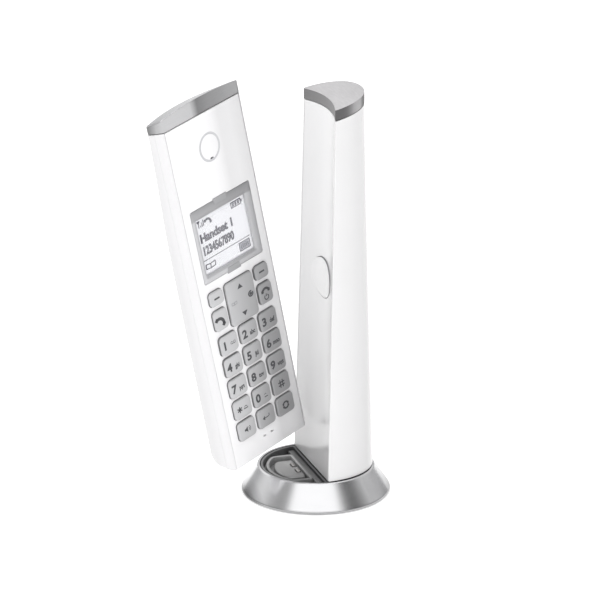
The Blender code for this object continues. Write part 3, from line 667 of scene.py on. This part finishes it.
def make_locator_button():
    """Oval button that follows the hollow of the front, on a dark skirt that is painted shade of the gap round it,
    with a faint sign on it.
    """
    half, front, _, _, scoop = tower_values(LOCATOR_Z)
    face_y = front + scoop - LOCATOR_PROUD
    outline = ellipse(0.1, LOCATOR_Z, *LOCATOR_SIZE, 72)
    levels = [(0.0, face_y + 4.0), (0.0, face_y + 0.16), (0.01, face_y + 0.15)]
    levels += [(0.12 * (1 - cos(a)) + 0.01, face_y + 0.12 * (1 - sin(a))) for a in quarter(4)]
    levels += [(d, face_y - 0.01 * d) for d in (1.2, 2.4, 3.6, 4.8)]
    bm = stack(outline, levels, "y")
    for v in bm.verts:
        v.co.y -= scoop * MM * (v.co.x / (half * MM)) ** 2
    button = make("locator_face", bm)
    piece(button, "locator_button", "front_white_painted_shade", ["locator_button"])
    # the skirt's dark grey is painted shade of the gap round the button
    button.data.materials.append(look("tab_grey_and_gap_shade"))
    for face in button.data.polygons[:2 * len(outline)]:
        face.material_index = 1
    waves = [(radius, *sweep) for radius in (1.0, 1.9) for sweep in ((-40, 40), (220, 140))]
    sign = [ellipse(0, LOCATOR_Z, 0.45, 0.45, 20)]
    sign += [stroke(arc(0, LOCATOR_Z, *wave, 10), 0.28) for wave in waves]
    mark = make("locator_mark", prisms(sign, face_y + 0.05, face_y - 0.09))
    piece(mark, "locator_button", "ink_pale")


# ---- the foot

def foot_ring_profile():
    """Closed profile of the polished ring, its lips rounded."""
    low, high, wide, narrow = FOOT_LIFT, FOOT_HEIGHT, FOOT_RADIUS, FOOT_TOP_RADIUS
    corners = [(31.2, low), (wide - 0.15, low), (wide, 0.95), (wide - 0.15, 1.5),
               (narrow + 0.05, high - 0.3), (narrow - 0.35, high), (RIM_INNER_RADIUS, high),
               (RIM_INNER_RADIUS, 10), (30.4, 2.6), (30.4, low)]
    return round_corners(corners, 0.32, 4, 8)


def socket_windows():
    bm = bmesh.new()
    for low, high in (LINE_SOCKET, POWER_JACK):
        box((-40, low[1] - 0.25, SOCKET_LOW), (high[0], high[1] + 0.25, SOCKET_HIGH), bm)
    return bm


def make_foot():
    ring = make("polished_ring", turned(foot_ring_profile(), 220))
    carve(ring, socket_windows(), sharp=radians(40))
    piece(ring, "base", "foot_chrome", ["foot_ring"])
    grooves = [(0, 0.0)]
    for i in range(7):
        r = 5.0 + 3.3 * i
        grooves += [(r, 0.0), (r + 0.25, 0.22), (r + 0.85, 0.22), (r + 1.1, 0.0)]
    profile = grooves + [(28.4, 0.0), (28.8, 0.1), (29, 0.3), (29, 0.6), (0, 0.6)]
    piece(make("ribbed_pad", turned(profile, 120)), "base", "rubber_grey", ["anti_slip_pad"])


def bay_outline(half, back_y, radius, corner=1.8, steps=20):
    """Outline with a straight back edge, straight sides and a front edge along the rim."""
    first = atan(sqrt(radius ** 2 - half ** 2) / half)
    angles = (pi - first + (2 * first - pi) * i / steps for i in range(steps + 1))
    edge = [(radius * cos(a), -radius * sin(a)) for a in angles]
    return round_corners([(half, back_y), (-half, back_y)] + edge, corner)


def recess_outline(radius, edge_y, steps=60):
    """The part of a disc in front of edge_y, from the -X end to the +X end."""
    start = atan(-edge_y / sqrt(radius ** 2 - edge_y ** 2))
    angles = (pi + start + (pi - 2 * start) * i / steps for i in range(steps + 1))
    return [(radius * cos(a), radius * sin(a)) for a in angles]


def contact_slots():
    slots = [rounded_rect(x, CONTACT_Y, 4.1, 2.3, 0.4, 3) for x in (-CONTACT_X, CONTACT_X)]
    return prisms(slots, 0, 20, "z")


def make_cradle():
    r, top = INSERT_RADIUS, INSERT_TOP_Z
    profile = [(0, 5.2), (r, 5.2), (r, top - 0.3), (r - 0.1, top - 0.1), (r - 0.3, top), (0, top)]
    insert = make("cradle_tray", turned(profile))
    recess = round_corners(recess_outline(CRADLE_RADIUS, CRADLE_EDGE_Y), 0.8, 4, 30)
    levels = [(0.5, FLOOR_Z), (0.15, FLOOR_Z + 0.15), (0.0, FLOOR_Z + 0.5), (0.0, top - 0.25),
              (-0.25, top + 0.02), (-0.25, 20)]
    carve(insert, stack(recess, levels), sharp=radians(35))
    carve(insert, box(*BASE_BAY))
    carve(insert, contact_slots())
    piece(insert, "base", "cradle_grey", ["cradle_insert"])
    root, top = FLOOR_Z - 0.6, FRAME_TOP_Z
    side = [(0.0, root), (0.0, top - 0.45), (0.13, top - 0.13), (0.45, top)]
    cross = side + [(FRAME_WIDTH - d, z) for d, z in reversed(side)]
    rim = make("cradle_frame", band(bay_outline(*FRAME_OUTLINE), cross))
    piece(rim, "base", "cradle_grey_painted_light")
    block = stack(bay_outline(*BLOCK_OUTLINE), soft_top(root, BLOCK_TOP_Z, 0.7))
    piece(carve(make("cradle_block", block), contact_slots()), "base", "cradle_grey_painted_light")
    ledge = stack(rounded_rect(0, -4.7, 42.6, 2.8, 0.5, 4), soft_top(FLOOR_Z - 0.5, FLOOR_Z + 2.3, 0.4))
    piece(make("cradle_ledge", ledge), "base", "cradle_grey")
    for side, x in (("left", -CONTACT_X), ("right", CONTACT_X)):
        name = "charge_contact_" + side
        spring = stack(rounded_rect(x, CONTACT_Y, 3.6, 1.8, 0.5, 4), soft_top(6.4, 11.2, 0.6))
        piece(make("spring_contact_" + side, spring), name, "contact_nickel", [name])


# ---- the handset's case

def depth_at(z):
    depth = mix(BODY_DEPTH, smooth((z - 95) / (BODY_LENGTH - 95)))
    if z < HEEL_RADIUS:
        depth += sqrt(HEEL_RADIUS ** 2 - (HEEL_RADIUS - max(z, 0)) ** 2) - HEEL_RADIUS
    return depth


def half_section(z, wall=0.0, start=0.0, steps=8):
    """Right half of the case's outline, from the front to the middle of the back."""
    half, depth = BODY_HALF_WIDTH - wall, depth_at(z) - wall
    bulge = mix(BACK_BULGE, min(z / BODY_LENGTH, 1.0))
    sweep = (start + (pi / 2 - start) * i / steps for i in range(steps + 1))
    points = [(half - EDGE_WIDTH + EDGE_WIDTH * sin(a), EDGE_DEPTH - EDGE_DEPTH * cos(a)) for a in sweep]
    inner = half - BACK_CORNER
    back = depth - bulge * (inner / half) ** 2
    drop = min(BACK_CORNER, back - SEAM_Y - 0.6)
    points += [(inner + BACK_CORNER * cos(a), back - drop + drop * sin(a)) for a in quarter(steps)]
    points += [(x, depth - bulge * (x / half) ** 2) for x in (inner * (1 - i / 14) for i in range(1, 14))]
    return points + [(0.0, depth)]


def both_sides(points):
    """An outline through the given right half and its mirror image."""
    return points + [(-x, y) for x, y in reversed(points) if x > 1e-6]


def case_levels(edge=0.5, steps=36):
    """Heights along the case, close together at the heel, and how far the end's edge draws in."""
    levels = [(edge * (1 - sin(a)), edge * (1 - cos(a))) for a in reversed(quarter(6))]
    heel = [HEEL_RADIUS * (1 - cos(a)) for a in quarter(14)]
    levels += [(z, 0.0) for z in heel if z > edge + 0.1]
    levels += [(mix((HEEL_RADIUS, BODY_LENGTH), i / steps), 0.0) for i in range(1, steps + 1)]
    return levels


def front_section(z):
    """The front half: side walls and a shallow bed for the panel."""
    half, bed = BODY_HALF_WIDTH, PANEL_HALF_WIDTH + 0.26
    right = [p for p in half_section(z, 0.0, radians(12)) if p[1] < SEAM_Y - 0.4]
    right = [(bed, PANEL_THICKNESS + 0.15), (bed, right[0][1] + 0.02)] + right[1:]
    right += [(half, SEAM_Y - 0.10), (half - 0.03, SEAM_Y - 0.03), (half - 0.10, SEAM_Y)]
    return both_sides(right)


def rear_section(z):
    start = SEAM_Y + 0.05
    half = BODY_HALF_WIDTH
    lip = [(half - 0.10, start), (half - 0.03, start + 0.03), (half, start + 0.10)]
    back = [p for p in half_section(z) if p[1] > start + 0.3]
    return both_sides(lip + back)


def case_body(section):
    return loft([stand(inset(section(z), d), z, "z") for z, d in case_levels()])


def hollow(heights, front=2.0, steps=10):
    """Space inside the case between two heights, from front to the back wall."""
    rings = []
    for z in (mix(heights, i / steps) for i in range(steps + 1)):
        back = [p for p in half_section(z, CASE_WALL) if p[1] > EDGE_DEPTH + 0.2]
        rings.append(stand(both_sides([(BODY_HALF_WIDTH - CASE_WALL, front)] + back), z, "z"))
    return loft(rings)


def tilted_end(shift, far_z):
    """Body across the handset between its slanting upper end, moved by shift, and far_z."""
    top = BODY_LENGTH + shift
    side = [(-5, far_z), (-5, top), (1.5, top), (25, top - 23.5 * CAP_TILT), (25, far_z)]
    return loft([[(x, y, z) for y, z in side] for x in (-40, 40)])


def make_front_case():
    case = make("case_front", case_body(front_section))
    carve(case, tilted_end(0.0, 190))
    carve(case, box(*PANEL_BAY))
    handset_piece(case, "case_white_painted_shade", ["handset_front_housing"])


def cover_outline(gap=0.0):
    """The battery cover's outline on the back, its lower end open."""
    half, top = COVER_HALF_WIDTH + gap, COVER_TOP + gap
    return round_corners([(half, -12), (half, top), (-half, top), (-half, -12)], 3.0, 6)


def grille_slots():
    rows = ((RINGER_Z + 2.6 * i, 14 - 2 * abs(i)) for i in range(-2, 3))
    return prisms([rounded_rect(0, z, width, 1.2, 0.59, 5) for z, width in rows], 11, 30)


def screw_wells():
    bm = bmesh.new()
    for x in (-SCREW_X, SCREW_X):
        turned([(0, 12), (2.35, 12), (2.35, 30), (0, 30)], 40, (x, SCREW_Z), "y", bm)
    return bm


def charge_slots():
    bm = box((-8.3, 5.6, -3), (-3.7, 8, 4))
    return box((3.7, 5.6, -3), (8.3, 8, 4), bm)


def make_rear_case():
    case = make("case_rear", case_body(rear_section))
    carve(case, box(*CELL_BAY))
    carve(case, hollow(BOARD_BAY_Z))
    carve(case, tilted_end(0.0, 190))
    carve(case, prism(cover_outline(0.18), COVER_INNER_Y - 0.3, 40, "y"))
    for tool in (grille_slots(), screw_wells(), charge_slots()):
        carve(case, tool)
    handset_piece(case, "case_white_painted_shade", ["handset_rear_housing"])


def make_battery_cover():
    cover = make("cover_plate", case_body(rear_section))
    carve(cover, prism(cover_outline(), COVER_INNER_Y, 40, "y"), "INTERSECT")
    handset_piece(cover, "case_white_painted_shade", ["battery_cover"], "battery_cover")
    for i in range(6):
        z = 76.0 + 1.9 * i
        outline = rounded_rect(0, z, 13.0 - 0.9 * abs(i - 2.5), 0.9, 0.42, 4)
        body = stack(outline, soft_top(depth_at(z) - 1.0, depth_at(z) + 0.28, 0.3), "y")
        ridge = make("cover_grip_%d" % (i + 1), body)
        handset_piece(ridge, "case_white_painted_shade", (), "battery_cover")


def arched_roof(steps=48):
    """Body under an arch across the handset that falls towards the back."""
    reach = BODY_HALF_WIDTH + 1
    arch = [(reach, 150), (-reach, 150)]
    for i in range(steps + 1):
        x = reach * (2 * i / steps - 1)
        arch.append((x, CAP_TOP + CAP_CROWN * (1 - (x / BODY_HALF_WIDTH) ** 2)))
    return loft([[(x, y, z - CAP_SLOPE * y) for x, z in arch] for y in (-2, 20)])


def make_handset_cap():
    """Brushed end cap: arched front edge, top that falls towards the back."""
    section = round_corners(both_sides(half_section(BODY_LENGTH, 0.0, 0.0, 10)), 0.3, 3, 60)
    cap = make("handset_end_cap", prism(section, BODY_LENGTH - 12, CAP_TOP + 5))
    carve(cap, arched_roof(), "INTERSECT", sharp=radians(25))
    carve(cap, tilted_end(0.2, 100), sharp=radians(25))
    soften(cap, 0.35, radians(40))
    handset_piece(cap, "handset_silver_painted_reflection", ["handset_top_cap"])


# ---- panel, display and keys

KEYS = [j["child"] for j in frame["joints"] if j["child"].startswith("key_")]


def panel_holes():
    holes = [rounded_rect(0.5, EAR_Z - 5.3, 1.9, 1.2, 0.59, 5)]
    holes += [rounded_rect(x, MIC_Z, 1.8, 0.8, 0.39, 4) for x in (-2.2, 2.2)]
    fitted = [(key, KEY_GAP, 2.05, 6) for key in KEYS] + [("display_bezel", BEZEL_GAP, 0.9, 4)]
    for node, gap, radius, segments in fitted:
        centre, size, _, _ = face_of(node)
        holes.append(rounded_rect(*centre, *(side + 2 * gap for side in size), radius, segments))
    return prisms(holes, -3, 4)


def make_panel():
    outline = rounded_rect(0, BODY_LENGTH / 2, 2 * PANEL_HALF_WIDTH, BODY_LENGTH - 0.2, 0.6, 4)
    panel = make("face_panel", stack(outline, soft_top(PANEL_THICKNESS, 0.0, 0.25, 4), "y"))
    carve(panel, panel_holes())
    oval = ellipse(0.4, EAR_Z, 5.7, 6.5, 96)
    carve(panel, band(oval, ((0.0, -1.0), (1.0, -1.0), (1.0, 0.5), (0.0, 0.5)), "y"))
    handset_piece(panel, "face_white_painted_shade", ["handset_front_panel"])
    # a grey band in the oval groove: painted shade of the earpiece dish's edge
    dish = ((0.0, 0.5), (0.0, 0.03), (0.35, 0.13), (0.65, 0.13), (1.0, 0.03), (1.0, 0.5))
    handset_piece(make("earpiece_dish_shade", band(oval, dish, "y")), "earpiece_painted_shade")


def make_bezel():
    """Grey frame round the display; its inner border slopes down to the window."""
    (x, z), (width, height), front, _ = face_of("display_bezel")

    def outer(draw):
        return rounded_rect(x, z, width - 2 * draw, height - 2 * draw, 0.8 - draw / 2, 5)

    def inner(grow):
        return rounded_rect(*WINDOW_CENTRE, *(side + 2 * grow for side in WINDOW_SIZE), 0.5 + grow / 2, 5)

    rings = [(outer(0.0), 1.0), (outer(0.0), front + 0.25), (outer(0.08), front + 0.08),
             (outer(0.25), front), (inner(1.2), front), (inner(1.05), front + 0.04),
             (inner(0.15), front + 0.62), (inner(0.0), front + 0.75), (inner(0.0), 1.0)]
    body = loft([stand(ring, y, "y") for ring, y in rings], closed=True)
    handset_piece(make("display_frame", body), "bezel_grey", ["display_bezel"])
    for name, side in (("lower", 1), ("upper", -1)):
        edge = z - side * height / 2
        tab = round_corners([(-3.9, edge - 0.75 * side), (3.9, edge - 0.75 * side),
                             (3.3, edge + 2.0 * side), (-3.3, edge + 2.0 * side)][::side], 0.35, 3)
        body = stack(tab, soft_top(0.6, front - 0.16, 0.12, 3), "y")
        handset_piece(make("display_frame_tab_" + name, body), "tab_grey_and_gap_shade")


def make_keys():
    """Satin caps on dark skirts, the skirts partly the keys' own edge and partly painted shade of the gap round
    each key; the caps are slightly crowned.
    """
    for key in KEYS:
        centre, size, front, back = face_of(key)
        levels = [(0.0, back), (0.0, front + 0.85), (0.02, front + 0.84), (0.02, front + 0.36)]
        levels += [(0.30 * (1 - cos(a)) + 0.02, front + 0.04 + 0.28 * (1 - sin(a))) for a in quarter(5)]
        levels += [(0.8, front + 0.01), (1.5, front), (2.4, front - 0.01)]
        cap = make(key + "_cap", plate(centre, size, 1.75, levels))
        handset_piece(cap, "key_silver", [key], body=key)
        # dark skirt: partly the key's own edge, partly painted shade of the gap round it
        cap.data.materials.append(look("key_edge_and_gap_shade"))
        for face in cap.data.polygons:
            face.material_index = 1 if face.center.y > (front + 0.6) * MM else 0


# ---- legends

def stroke(points, width):
    """Outline of a line of even width through the points."""
    left, right = [], []
    for i, here in enumerate(points):
        before = Vector(points[max(i - 1, 0)])
        after = Vector(points[min(i + 1, len(points) - 1)])
        heading = (after - before).normalized()
        side = Vector((-heading.y, heading.x)) * width / 2
        left.append((here[0] + side.x, here[1] + side.y))
        right.append((here[0] - side.x, here[1] - side.y))
    return left + right[::-1]


def add_text(bm, text, size, x, z, front, back, align="CENTER", stretch=1.0):
    """Letters of the given cap height in mm, their base line at z."""
    curve = bpy.data.curves.new("letters", "FONT")
    curve.body = text
    curve.size = size * 1.4 * MM
    curve.align_x = align
    curve.resolution_u = 3
    curve.extrude = abs(front - back) / 2 * MM
    curve.offset = TEXT_WEIGHT * size * MM
    holder = add_object("letters", curve)
    mesh = evaluated_mesh(holder)
    bpy.data.objects.remove(holder, do_unlink=True)
    bpy.data.curves.remove(curve)
    middle = (front + back) / 2
    rows = ((stretch, 0, 0, x * MM), (0, 0, -1, middle * MM), (0, 1, 0, z * MM), (0, 0, 0, 1))
    mesh.transform(Matrix(rows))
    start = len(bm.verts)
    bm.from_mesh(mesh)
    bpy.data.meshes.remove(mesh)
    bm.verts.ensure_lookup_table()
    bmesh.ops.remove_doubles(bm, verts=bm.verts[start:], dist=1e-7)


def arc(cx, cz, radius, first_deg, last_deg, steps=12):
    angles = (radians(first_deg + (last_deg - first_deg) * i / steps) for i in range(steps + 1))
    return [(cx + radius * cos(a), cz + radius * sin(a)) for a in angles]


def move_shapes(shapes, x, z, angle_deg=0.0, size=1.0):
    """Outlines scaled, turned about the origin and moved to (x, z)."""
    c, s = size * cos(radians(angle_deg)), size * sin(radians(angle_deg))
    return [[(x + a * c - b * s, z + a * s + b * c) for a, b in shape] for shape in shapes]


def receiver(cx, cz, size, angle_deg):
    """A handset seen from the side: a curved grip with two round-cornered ends."""
    grip = stroke(arc(0, -0.55, 0.62, 25, 155), 0.36)
    ends = [rounded_rect(side * 0.58, -0.32, 0.42, 0.46, 0.1, 3) for side in (-1, 1)]
    return move_shapes([grip] + ends, cx, cz, angle_deg, size)


def book(cx, cz, size, line):
    """An open book: two pages that meet in the middle."""
    edges = []
    for side in (-0.9, 0.9):
        page = [(0, -0.35), (side, -0.25), (side, 0.45), (0, 0.35), (0, -0.35)]
        edges += [stroke([(a * size, b * size) for a, b in edge], line) for edge in zip(page, page[1:])]
    return move_shapes(edges, cx, cz)


def four_bars(cx, cz, reach, lengths, line, segments=1):
    """Crossing bars that lie at reach (x, z) from the centre and have the lengths (x, z)."""
    bars = []
    for side in (-1, 1):
        bars.append(rounded_rect(cx, cz + side * reach[1], lengths[0], line, 0.1, segments))
        bars.append(rounded_rect(cx + side * reach[0], cz, line, lengths[1], 0.1, segments))
    return bars


LETTERS = dict(zip("23456789", "abc def ghi jkl mno pqrs tuv wxyz".split()))
DIGIT_HEIGHT, LETTER_HEIGHT, DISPLAY_HEIGHT = 3.8, 2.1, 3.9
TEXT_WEIGHT = 0.055     # how far letters swell, as a share of their height


def key_signs():
    """Outlines of the signs on the keys, about each key's centre."""
    dash = [rounded_rect(0, 0, 3.0, 0.8, 0.15, 2)]
    power = [stroke(arc(0, -2.0, 1.15, 125, 415, 20), 0.45), rounded_rect(0, -1.05, 0.45, 1.3, 0.1, 2)]
    star = move_shapes([stroke(arc(0, 0, 1.45, a, a + 180, 1), 0.58) for a in (90, 30, -30)], -1.9, 0)
    hood = [rounded_rect(1.6, -0.7, 2.4, 0.45, 0.1, 2), stroke(arc(1.6, -0.3, 0.75, 10, 170), 0.3)]
    horn = [(-1.6, -0.5), (-0.8, -0.5), (0.2, -1.4), (0.2, 1.4), (-0.8, 0.5), (-1.6, 0.5)]
    return_line = stroke([(-1.2, -0.1), (0.9, -0.1), (1.5, 0.3), (1.5, 1.2)], 0.4)
    reels = [stroke(arc(x, -0.2, 0.55, 0, 330, 14), 0.22) for x in (1.3, 2.9)]
    caret = stroke([(1.2, -0.2), (1.7, 0.4), (2.2, -0.2)], 0.25)
    up, down = [(-1.5, 5.4), (1.5, 5.4), (0, 7.6)], [(-1.5, -5.6), (0, -7.8), (1.5, -5.6)]
    ring = [stroke(arc(5.0, 0.3, 1.2, 60, 390, 20), 0.65), ellipse(5.0, 0.3, 0.75, 0.75, 16)]
    return {
        "soft_left": dash,
        "soft_right": dash,
        "talk": receiver(0, 0.2, 3.9, -38),
        "off": receiver(0, 1.9, 3.1, 0) + power,
        "navigator": [up, down] + ring,
        "1": reels + [rounded_rect(2.1, -0.75, 1.7, 0.22, 0.08, 2)],
        "0": [rounded_rect(2.0, -1.3, 1.9, 0.4, 0.1, 2), caret],
        "star": star + hood,
        "hash": four_bars(0, 0, (0.7, 0.7), (3.6, 3.8), 0.55, 2),
        "speaker": [horn] + [stroke(arc(0, 0, r, -45, 45), 0.28) for r in (1.1, 1.8)],
        "redial": [[(-2.4, -0.1), (-1.1, 1.0), (-1.1, -1.2)], return_line],
        "intercom": receiver(0, 1.2, 2.3, 0) + receiver(0, -1.5, 2.3, 180),
    }


def make_legends():
    signs = key_signs()
    for key in KEYS:
        (x, z), _, face, _ = face_of(key)
        front, back = face - 0.035, face + PRINT
        sign = key.removeprefix("key_")
        letters = LETTERS.get(sign, "")
        bm = prisms(move_shapes(signs.get(sign, ()), x, z), back, front)
        if sign.isdigit():
            add_text(bm, sign, DIGIT_HEIGHT, x - 2.5, z - 1.9, front, back)
        if letters:
            stretch = 2.35 / (len(letters) + 0.2)
            add_text(bm, letters, LETTER_HEIGHT, x + 1.8, z - 1.7, front, back, stretch=stretch)
        if sign == "navigator":
            faint = prisms(book(x - 4.6, z, 1.6, 0.24), back, front)
            handset_piece(make("legend_book", faint), "ink_pale", body=key)
        handset_piece(make("legend_" + sign, bm), "ink", body=key)


def display_signs(left, right, bottom, top):
    """Signal, call and battery signs, the line and the soft-key sign below the text."""
    bars = [(0.9 + 0.95 * i, left + 2.7 + 0.8 * i) for i in range(3)]
    shapes = [rounded_rect(x, top - 4.1 + height / 2, 0.5, height, 0.05, 1) for height, x in bars]
    shapes.append([(left + 0.6, top - 1.0), (left + 2.6, top - 1.0), (left + 1.6, top - 2.4)])
    shapes.append(rounded_rect(left + 1.6, top - 2.9, 0.42, 2.4, 0.05, 1))
    shapes += receiver(left + 7.2, top - 2.3, 2.8, -25)
    cell_x, cell_z = right - 4.6, top - 2.4
    shapes += four_bars(cell_x, cell_z, (2.65, 1.15), (5.6, 2.7), 0.45)
    shapes.append(rounded_rect(cell_x + 3.2, cell_z, 0.6, 1.2, 0.1, 1))
    shapes += [rounded_rect(cell_x - 1.55 + 1.5 * i, cell_z, 1.05, 1.5, 0.05, 1) for i in range(3)]
    shapes.append(rounded_rect(WINDOW_CENTRE[0], bottom + 6.4, WINDOW_SIZE[0] - 1.0, 0.34, 0.1, 1))
    return shapes + book(left + 3.7, bottom + 3.1, 2.9, 0.5)


def make_display_print():
    """What the display shows; the text is struck twice, a little apart, to look bold."""
    front, back = LCD_FRONT_Y - PRINT, LCD_FRONT_Y + PRINT
    left, right = (WINDOW_CENTRE[0] + side * WINDOW_SIZE[0] / 2 for side in (-1, 1))
    bottom, top = (WINDOW_CENTRE[1] + side * WINDOW_SIZE[1] / 2 for side in (-1, 1))
    tag_x, tag_z = right - 4.2, bottom + 3.4
    shapes = display_signs(left, right, bottom, top)
    shapes += four_bars(tag_x, tag_z, (2.95, 1.85), (6.2, 3.9), 0.4)
    for i in range(5):
        shapes.append(rounded_rect(tag_x - 1.8 + 0.9 * i, tag_z + 0.5 * (i % 2) - 0.2, 0.55, 2.0, 0.05, 1))
    bm = prisms(shapes, back, front)
    for step in (0.0, 0.16):
        for line, drop, stretch in (("Handset 1", 11.0, 0.84), ("1234567890", 16.9, 0.65)):
            place = (left + 0.9 + step, top - drop, front - step / 60, back)
            add_text(bm, line, DISPLAY_HEIGHT, *place, "LEFT", stretch)
    handset_piece(make("display_print", bm), "lcd_ink")
    shade = prism(rounded_rect(tag_x, tag_z, 5.7, 3.5, 0.2, 2), back, LCD_FRONT_Y - 0.012, "y")
    handset_piece(make("display_tag", shade), "lcd_ink_pale")


# ---- light, floor and camera

# Brightness of the studio's walls against the azimuth in degrees
WORLD_PANELS = ((-180, 0.8), (-158, 0.9), (-110, 1), (-60, 1.4), (-38, 1.15), (-23, 0.94), (-9, 0.62),
                (3, 0.46), (14, 0.46), (20, 0.58), (27, 1.6), (112, 1.6), (119, 0.85), (126, 0.36),
                (134, 0.2), (144, 0.2), (156, 0.4), (169, 0.76))
LOW_BAND, ROOF = (0.6, 0.6, 0.605, 1), (1.5, 1.5, 1.5, 1)
WORLD_STRENGTH, FLOOR_GLOW = 0.87, 0.44

# Softboxes: azimuth, elevation, distance, width, height, power
SOFTBOXES = {
    "front_top_softbox": (62, 55, 1.0, 1.1, 0.45, 1.1),
    "left_softbox": (-10, 35, 1.3, 0.7, 0.9, 0.5),
    "right_softbox": (130, 40, 1.3, 0.7, 0.9, 0.3),
    "overhead_softbox": (72, 85, 1.4, 1.0, 1.0, 0.3),
}
SOFTBOX_TARGET = (0.0, 0.0, 0.08)

CAMERA_TARGET = (0.0, -0.0073, 0.0877)
CAMERA_AZIMUTH, CAMERA_ELEVATION, CAMERA_DISTANCE = 72.014, 17.664, 1.1644
FOCAL_LENGTH, SENSOR_WIDTH = 162.05, 36.0


def place_in_orbit(name, data, azimuth_deg, elevation_deg, distance, target):
    """Object that looks at the target from an azimuth, where 0 is -Y and 90 is +X."""
    a, e = radians(azimuth_deg), radians(elevation_deg)
    away = Vector((sin(a) * cos(e), -cos(a) * cos(e), sin(e)))
    made = add_object(name, data)
    made.location = Vector(target) + away * distance
    made.rotation_euler = (-away).to_track_quat("-Z", "Y").to_euler()
    return made


def make_floor():
    steps, radius = 96, 6000
    floor = make("floor", stack(ellipse(0, 0, radius, radius, steps), ((0.0, -20), (0.0, -0.02))))
    made, shader, n = new_material("pale_floor")
    n.fill(shader, {"Base Color": (0.92, 0.92, 0.92, 1), "Roughness": 0.9,
                    "Emission Color": (1, 1, 1, 1), "Emission Strength": FLOOR_GLOW})
    floor.data.materials.append(made)


def make_world():
    """Pale studio with brighter and darker panels side by side above the horizon."""
    world = bpy.data.worlds.new("studio")
    bpy.context.scene.world = world
    world.use_nodes = True
    n = Nodes(world.node_tree)
    toward = n.split(n.add("ShaderNodeTexCoord", "Generated"))
    azimuth = n.calculate("ARCTAN2", toward["X"], n.calculate("MULTIPLY", toward["Y"], -1.0))
    stops = [((a + 180) / 360, grey) for a, grey in WORLD_PANELS]
    panels = n.ramp(n.span(azimuth, -pi, pi), stops)
    walls = n.blend(n.span(toward["Z"], 0.20, 0.42), LOW_BAND, panels)
    sky = n.blend(n.span(toward["Z"], 0.82, 0.90), walls, ROOF)
    n.fill(world.node_tree.nodes["Background"], {"Color": sky, "Strength": WORLD_STRENGTH})


def make_lights():
    for name, (azimuth, elevation, distance, width, height, power) in SOFTBOXES.items():
        light = bpy.data.lights.new(name, "AREA")
        light.shape = "RECTANGLE"
        light.size = width
        light.size_y = height
        light.energy = power
        lamp = place_in_orbit(name, light, azimuth, elevation, distance, SOFTBOX_TARGET)
        lamp.visible_glossy = False


def make_camera():
    camera = bpy.data.cameras.new("camera")
    camera.lens = FOCAL_LENGTH
    camera.sensor_width = SENSOR_WIDTH
    camera.clip_start = 0.05
    camera.clip_end = 30.0
    orbit = (CAMERA_AZIMUTH, CAMERA_ELEVATION, CAMERA_DISTANCE, CAMERA_TARGET)
    bpy.context.scene.camera = place_in_orbit("camera", camera, *orbit)


# ---- the whole scene

make_camera()
dress_cad_nodes()
make_tower()
make_locator_button()
make_foot()
make_cradle()
make_front_case()
make_rear_case()
make_battery_cover()
make_handset_cap()
make_panel()
make_bezel()
make_keys()
make_legends()
make_display_print()
make_floor()
make_world()
make_lights()
bpy.context.scene.view_settings.view_transform = "Standard"
